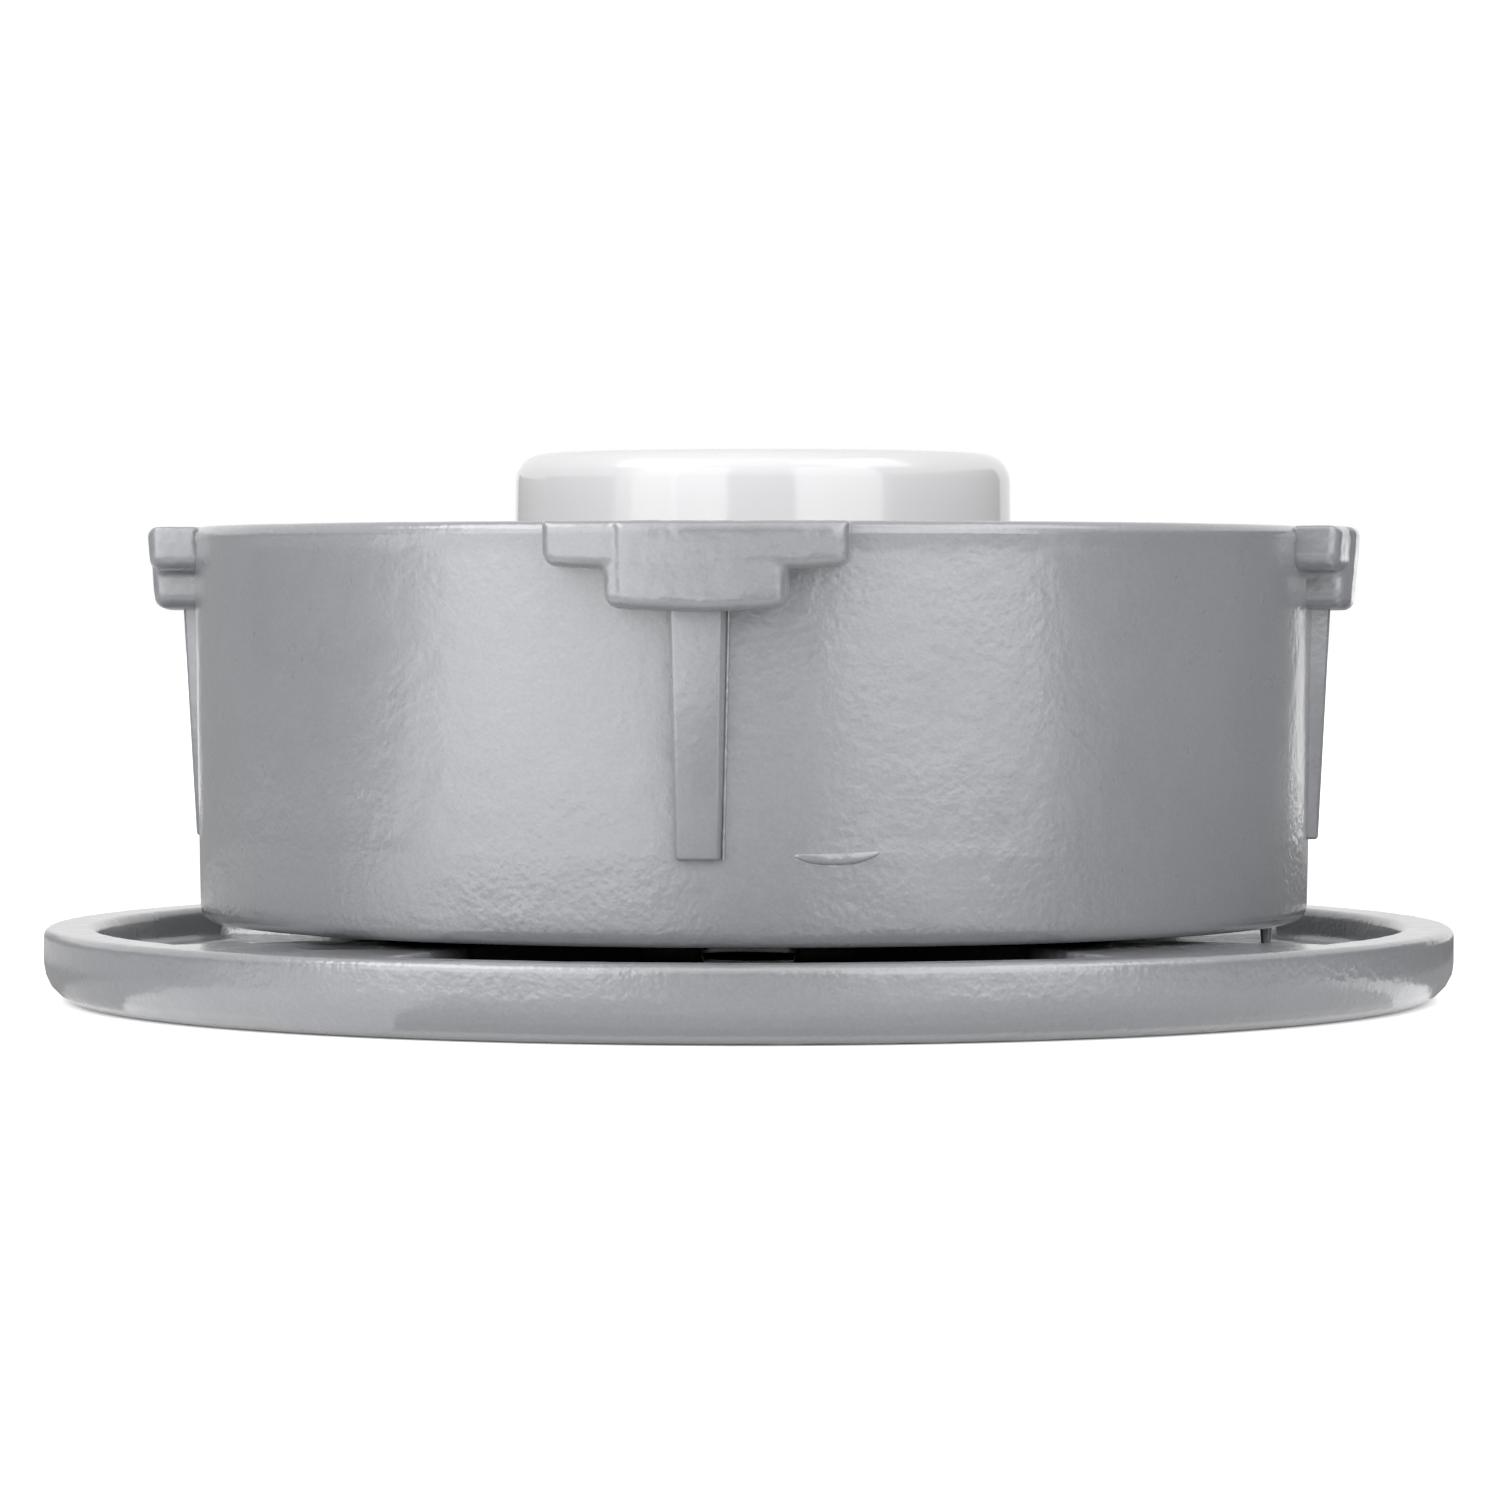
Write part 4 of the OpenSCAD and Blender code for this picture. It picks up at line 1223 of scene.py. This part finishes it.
def around(azimuth, distance, height):
    """A point over the bench, and how far something there turns to face the grate."""
    angle = math.radians(azimuth)
    return (distance * math.sin(angle), -distance * math.cos(angle), height), angle


class DRAIN_OT_stage(bpy.types.Operator):
    """Set up the bench, the softboxes, the cards that only gloss sees, and the camera"""
    bl_idname = "drain.stage"
    bl_label = "Stage"

    def bench(self, settings):
        """A pale bench top. What the camera sees of it is lifted to white, and shadows stay."""
        bm = bmesh.new()
        bmesh.ops.create_circle(bm, cap_ends=True, segments=64, radius=BENCH_RADIUS)
        made = as_object("bench", bm)
        nodes = Nodes("bench_paper")
        nodes.tint(nodes.ramp(nodes.noise(0.4, 2.0), 0.3, 0.7), (0.86, 0.86, 0.86),
                   (0.88, 0.88, 0.88))
        nodes.set(Roughness=0.9, Specular_IOR_Level=0.2)
        reach = nodes.reach()
        near = nodes.math("MINIMUM", nodes.ramp(reach, *GLOW_START, 0.0, settings.near_glow),
                          nodes.ramp(reach, *GLOW_EASE, settings.near_glow, settings.glow))
        lift = nodes.math("MAXIMUM", near, nodes.ramp(reach, *GLOW_FAR, 0.0, settings.far_glow))
        glow = nodes.glow(nodes.math("MULTIPLY", seen(nodes.tree), lift))
        both = nodes.node("ShaderNodeAddShader", {0: nodes.shader.outputs[0], 1: glow})
        nodes.surface(both.outputs[0])
        made.data.materials.append(nodes.material)
        made.location.z = BENCH_HEIGHT

    def softbox(self, name, azimuth, width, brightness):
        """A softbox that faces the grate, over a card that carries its shine down to the bench."""
        tall = SOFTBOX_TOP - SOFTBOX_FOOT
        self.card(name + "_foot", azimuth, SOFTBOX_AWAY, SOFTBOX_FOOT / 2, width, SOFTBOX_FOOT,
                  brightness)
        light = bpy.data.lights.new(name, "AREA")
        light.shape, light.size, light.size_y = "RECTANGLE", width, tall
        light.energy = brightness * width * tall * math.pi
        made = bpy.data.objects.new(name, light)
        bpy.context.scene.collection.objects.link(made)
        made.location, angle = around(azimuth, SOFTBOX_AWAY, (SOFTBOX_FOOT + SOFTBOX_TOP) / 2)
        made.rotation_euler = (math.pi / 2, 0, angle)
        made.visible_camera = False

    def card(self, name, azimuth, distance, height, width, tall, shade, lean=math.pi / 2):
        """A card that only gloss sees. It stands upright, or lies flat with a lean of 0."""
        bm = bmesh.new()
        bmesh.ops.create_grid(bm, x_segments=1, y_segments=1, size=0.5)
        bmesh.ops.scale(bm, verts=bm.verts[:], vec=(width, tall, 1))
        made = as_object(name, bm)
        made.location, angle = around(azimuth, distance, height)
        made.rotation_euler = (lean, 0, angle)
        self.only_gloss(made, shade)

    def apron(self, name, first, last, outer, shade):
        """A flat part of a ring round the grate's foot that only gloss sees."""
        bm = bmesh.new()
        radii = (APRON_INNER, 0.5 * (0.07 + outer), outer)
        row = [bm.verts.new(around(first, r, 0)[0]) for r in radii]
        edges = [bm.edges.new(pair) for pair in zip(row, row[1:])]
        bmesh.ops.spin(bm, geom=row + edges, cent=(0, 0, 0), axis=UP,
                       angle=math.radians(last - first), steps=32)
        made = as_object(name, bm)
        made.location.z = APRON_HEIGHT
        self.only_gloss(made, shade)

    def only_gloss(self, made, shade):
        """Gives a card an even shade and hides it from everything but gloss."""
        nodes = Nodes(made.name + "_cloth")
        nodes.tree.nodes.remove(nodes.shader)
        nodes.surface(nodes.glow(shade))
        made.data.materials.append(nodes.material)
        made.visible_camera = made.visible_diffuse = False
        made.visible_shadow = made.visible_transmission = False

    def world(self, settings):
        """A white room that lights the bench less than it looks."""
        world = bpy.data.worlds.new("studio")
        bpy.context.scene.world = world
        world.use_nodes = True
        tree = world.node_tree
        back = tree.nodes["Background"]
        level = tree.nodes.new("ShaderNodeMapRange")
        level.inputs["To Min"].default_value = settings.room
        level.inputs["To Max"].default_value = 1.0
        tree.links.new(seen(tree), level.inputs["Value"])
        tree.links.new(level.outputs[0], back.inputs["Strength"])
        back.inputs["Color"].default_value = WHITE

    def camera(self, settings):
        data = bpy.data.cameras.new("camera")
        data.lens, data.sensor_width = settings.lens, 36.0
        data.clip_start, data.clip_end = 0.01, 20.0
        made = bpy.data.objects.new("camera", data)
        bpy.context.scene.collection.objects.link(made)
        made.location = (settings.camera_side, -settings.distance, settings.camera_height)
        made.rotation_euler = (math.pi / 2 - settings.tilt, 0, 0)
        bpy.context.scene.camera = made

    def execute(self, context):
        s = context.scene.drain_stage
        self.bench(s)
        for name, azimuth, width, share in LEFT_SOFTBOXES:
            self.softbox(name, azimuth, width, share * s.left_light)
        self.softbox("right_softbox", 35, 0.33, s.right_light)
        for row in UPRIGHT_CARDS:
            self.card(*row)
        for rows, light in ((FLAT_CARDS, 1.0), (LEFT_SHEETS, s.left_light),
                            (RIGHT_SHEETS, s.right_light), (OVERHEADS, s.overhead)):
            for *row, share in rows:
                self.card(*row, share * light, lean=0)
        for row in APRONS:
            self.apron(*row)
        self.world(s)
        self.camera(s)
        context.scene.view_settings.view_transform = "Standard"
        return {"FINISHED"}


class DRAIN_PT_panel(bpy.types.Panel):
    """Lists the grate's pieces"""
    bl_idname = "DRAIN_PT_panel"
    bl_label = "Floor drain grate"
    bl_space_type = "VIEW_3D"
    bl_region_type = "UI"
    bl_category = "Drain"

    def draw(self, context):
        for operator in OPERATORS:
            self.layout.operator(operator.bl_idname)
        for name in SETTINGS:
            box = self.layout.box()
            box.label(text=name.replace("drain_", "").capitalize())
            group = getattr(context.scene, name)
            for key in group.__annotations__:
                box.prop(group, key)


SETTINGS = {
    "drain_grate": GrateSizes,
    "drain_housing": HousingSizes,
    "drain_lugs": LugSizes,
    "drain_cup": CupSizes,
    "drain_tube": TubeSizes,
    "drain_fasteners": FastenerSizes,
    "drain_finish": Finish,
    "drain_stage": StageSettings,
}
OPERATORS = [DRAIN_OT_grate, DRAIN_OT_housing, DRAIN_OT_cup, DRAIN_OT_tube, DRAIN_OT_spider,
             DRAIN_OT_screws, DRAIN_OT_stage]


def register():
    for made in [*SETTINGS.values(), *OPERATORS, DRAIN_PT_panel]:
        bpy.utils.register_class(made)
    for name, group in SETTINGS.items():
        setattr(bpy.types.Scene, name, PointerProperty(type=group))


def unregister():
    for name in SETTINGS:
        delattr(bpy.types.Scene, name)
    for made in reversed([*SETTINGS.values(), *OPERATORS, DRAIN_PT_panel]):
        bpy.utils.unregister_class(made)


def main():
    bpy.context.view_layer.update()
    register()
    bpy.ops.drain.grate()
    bpy.ops.drain.housing()
    bpy.ops.drain.cup()
    bpy.ops.drain.tube()
    bpy.ops.drain.spider()
    bpy.ops.drain.screws()
    bpy.ops.drain.stage()


if __name__ == "__main__":
    main()
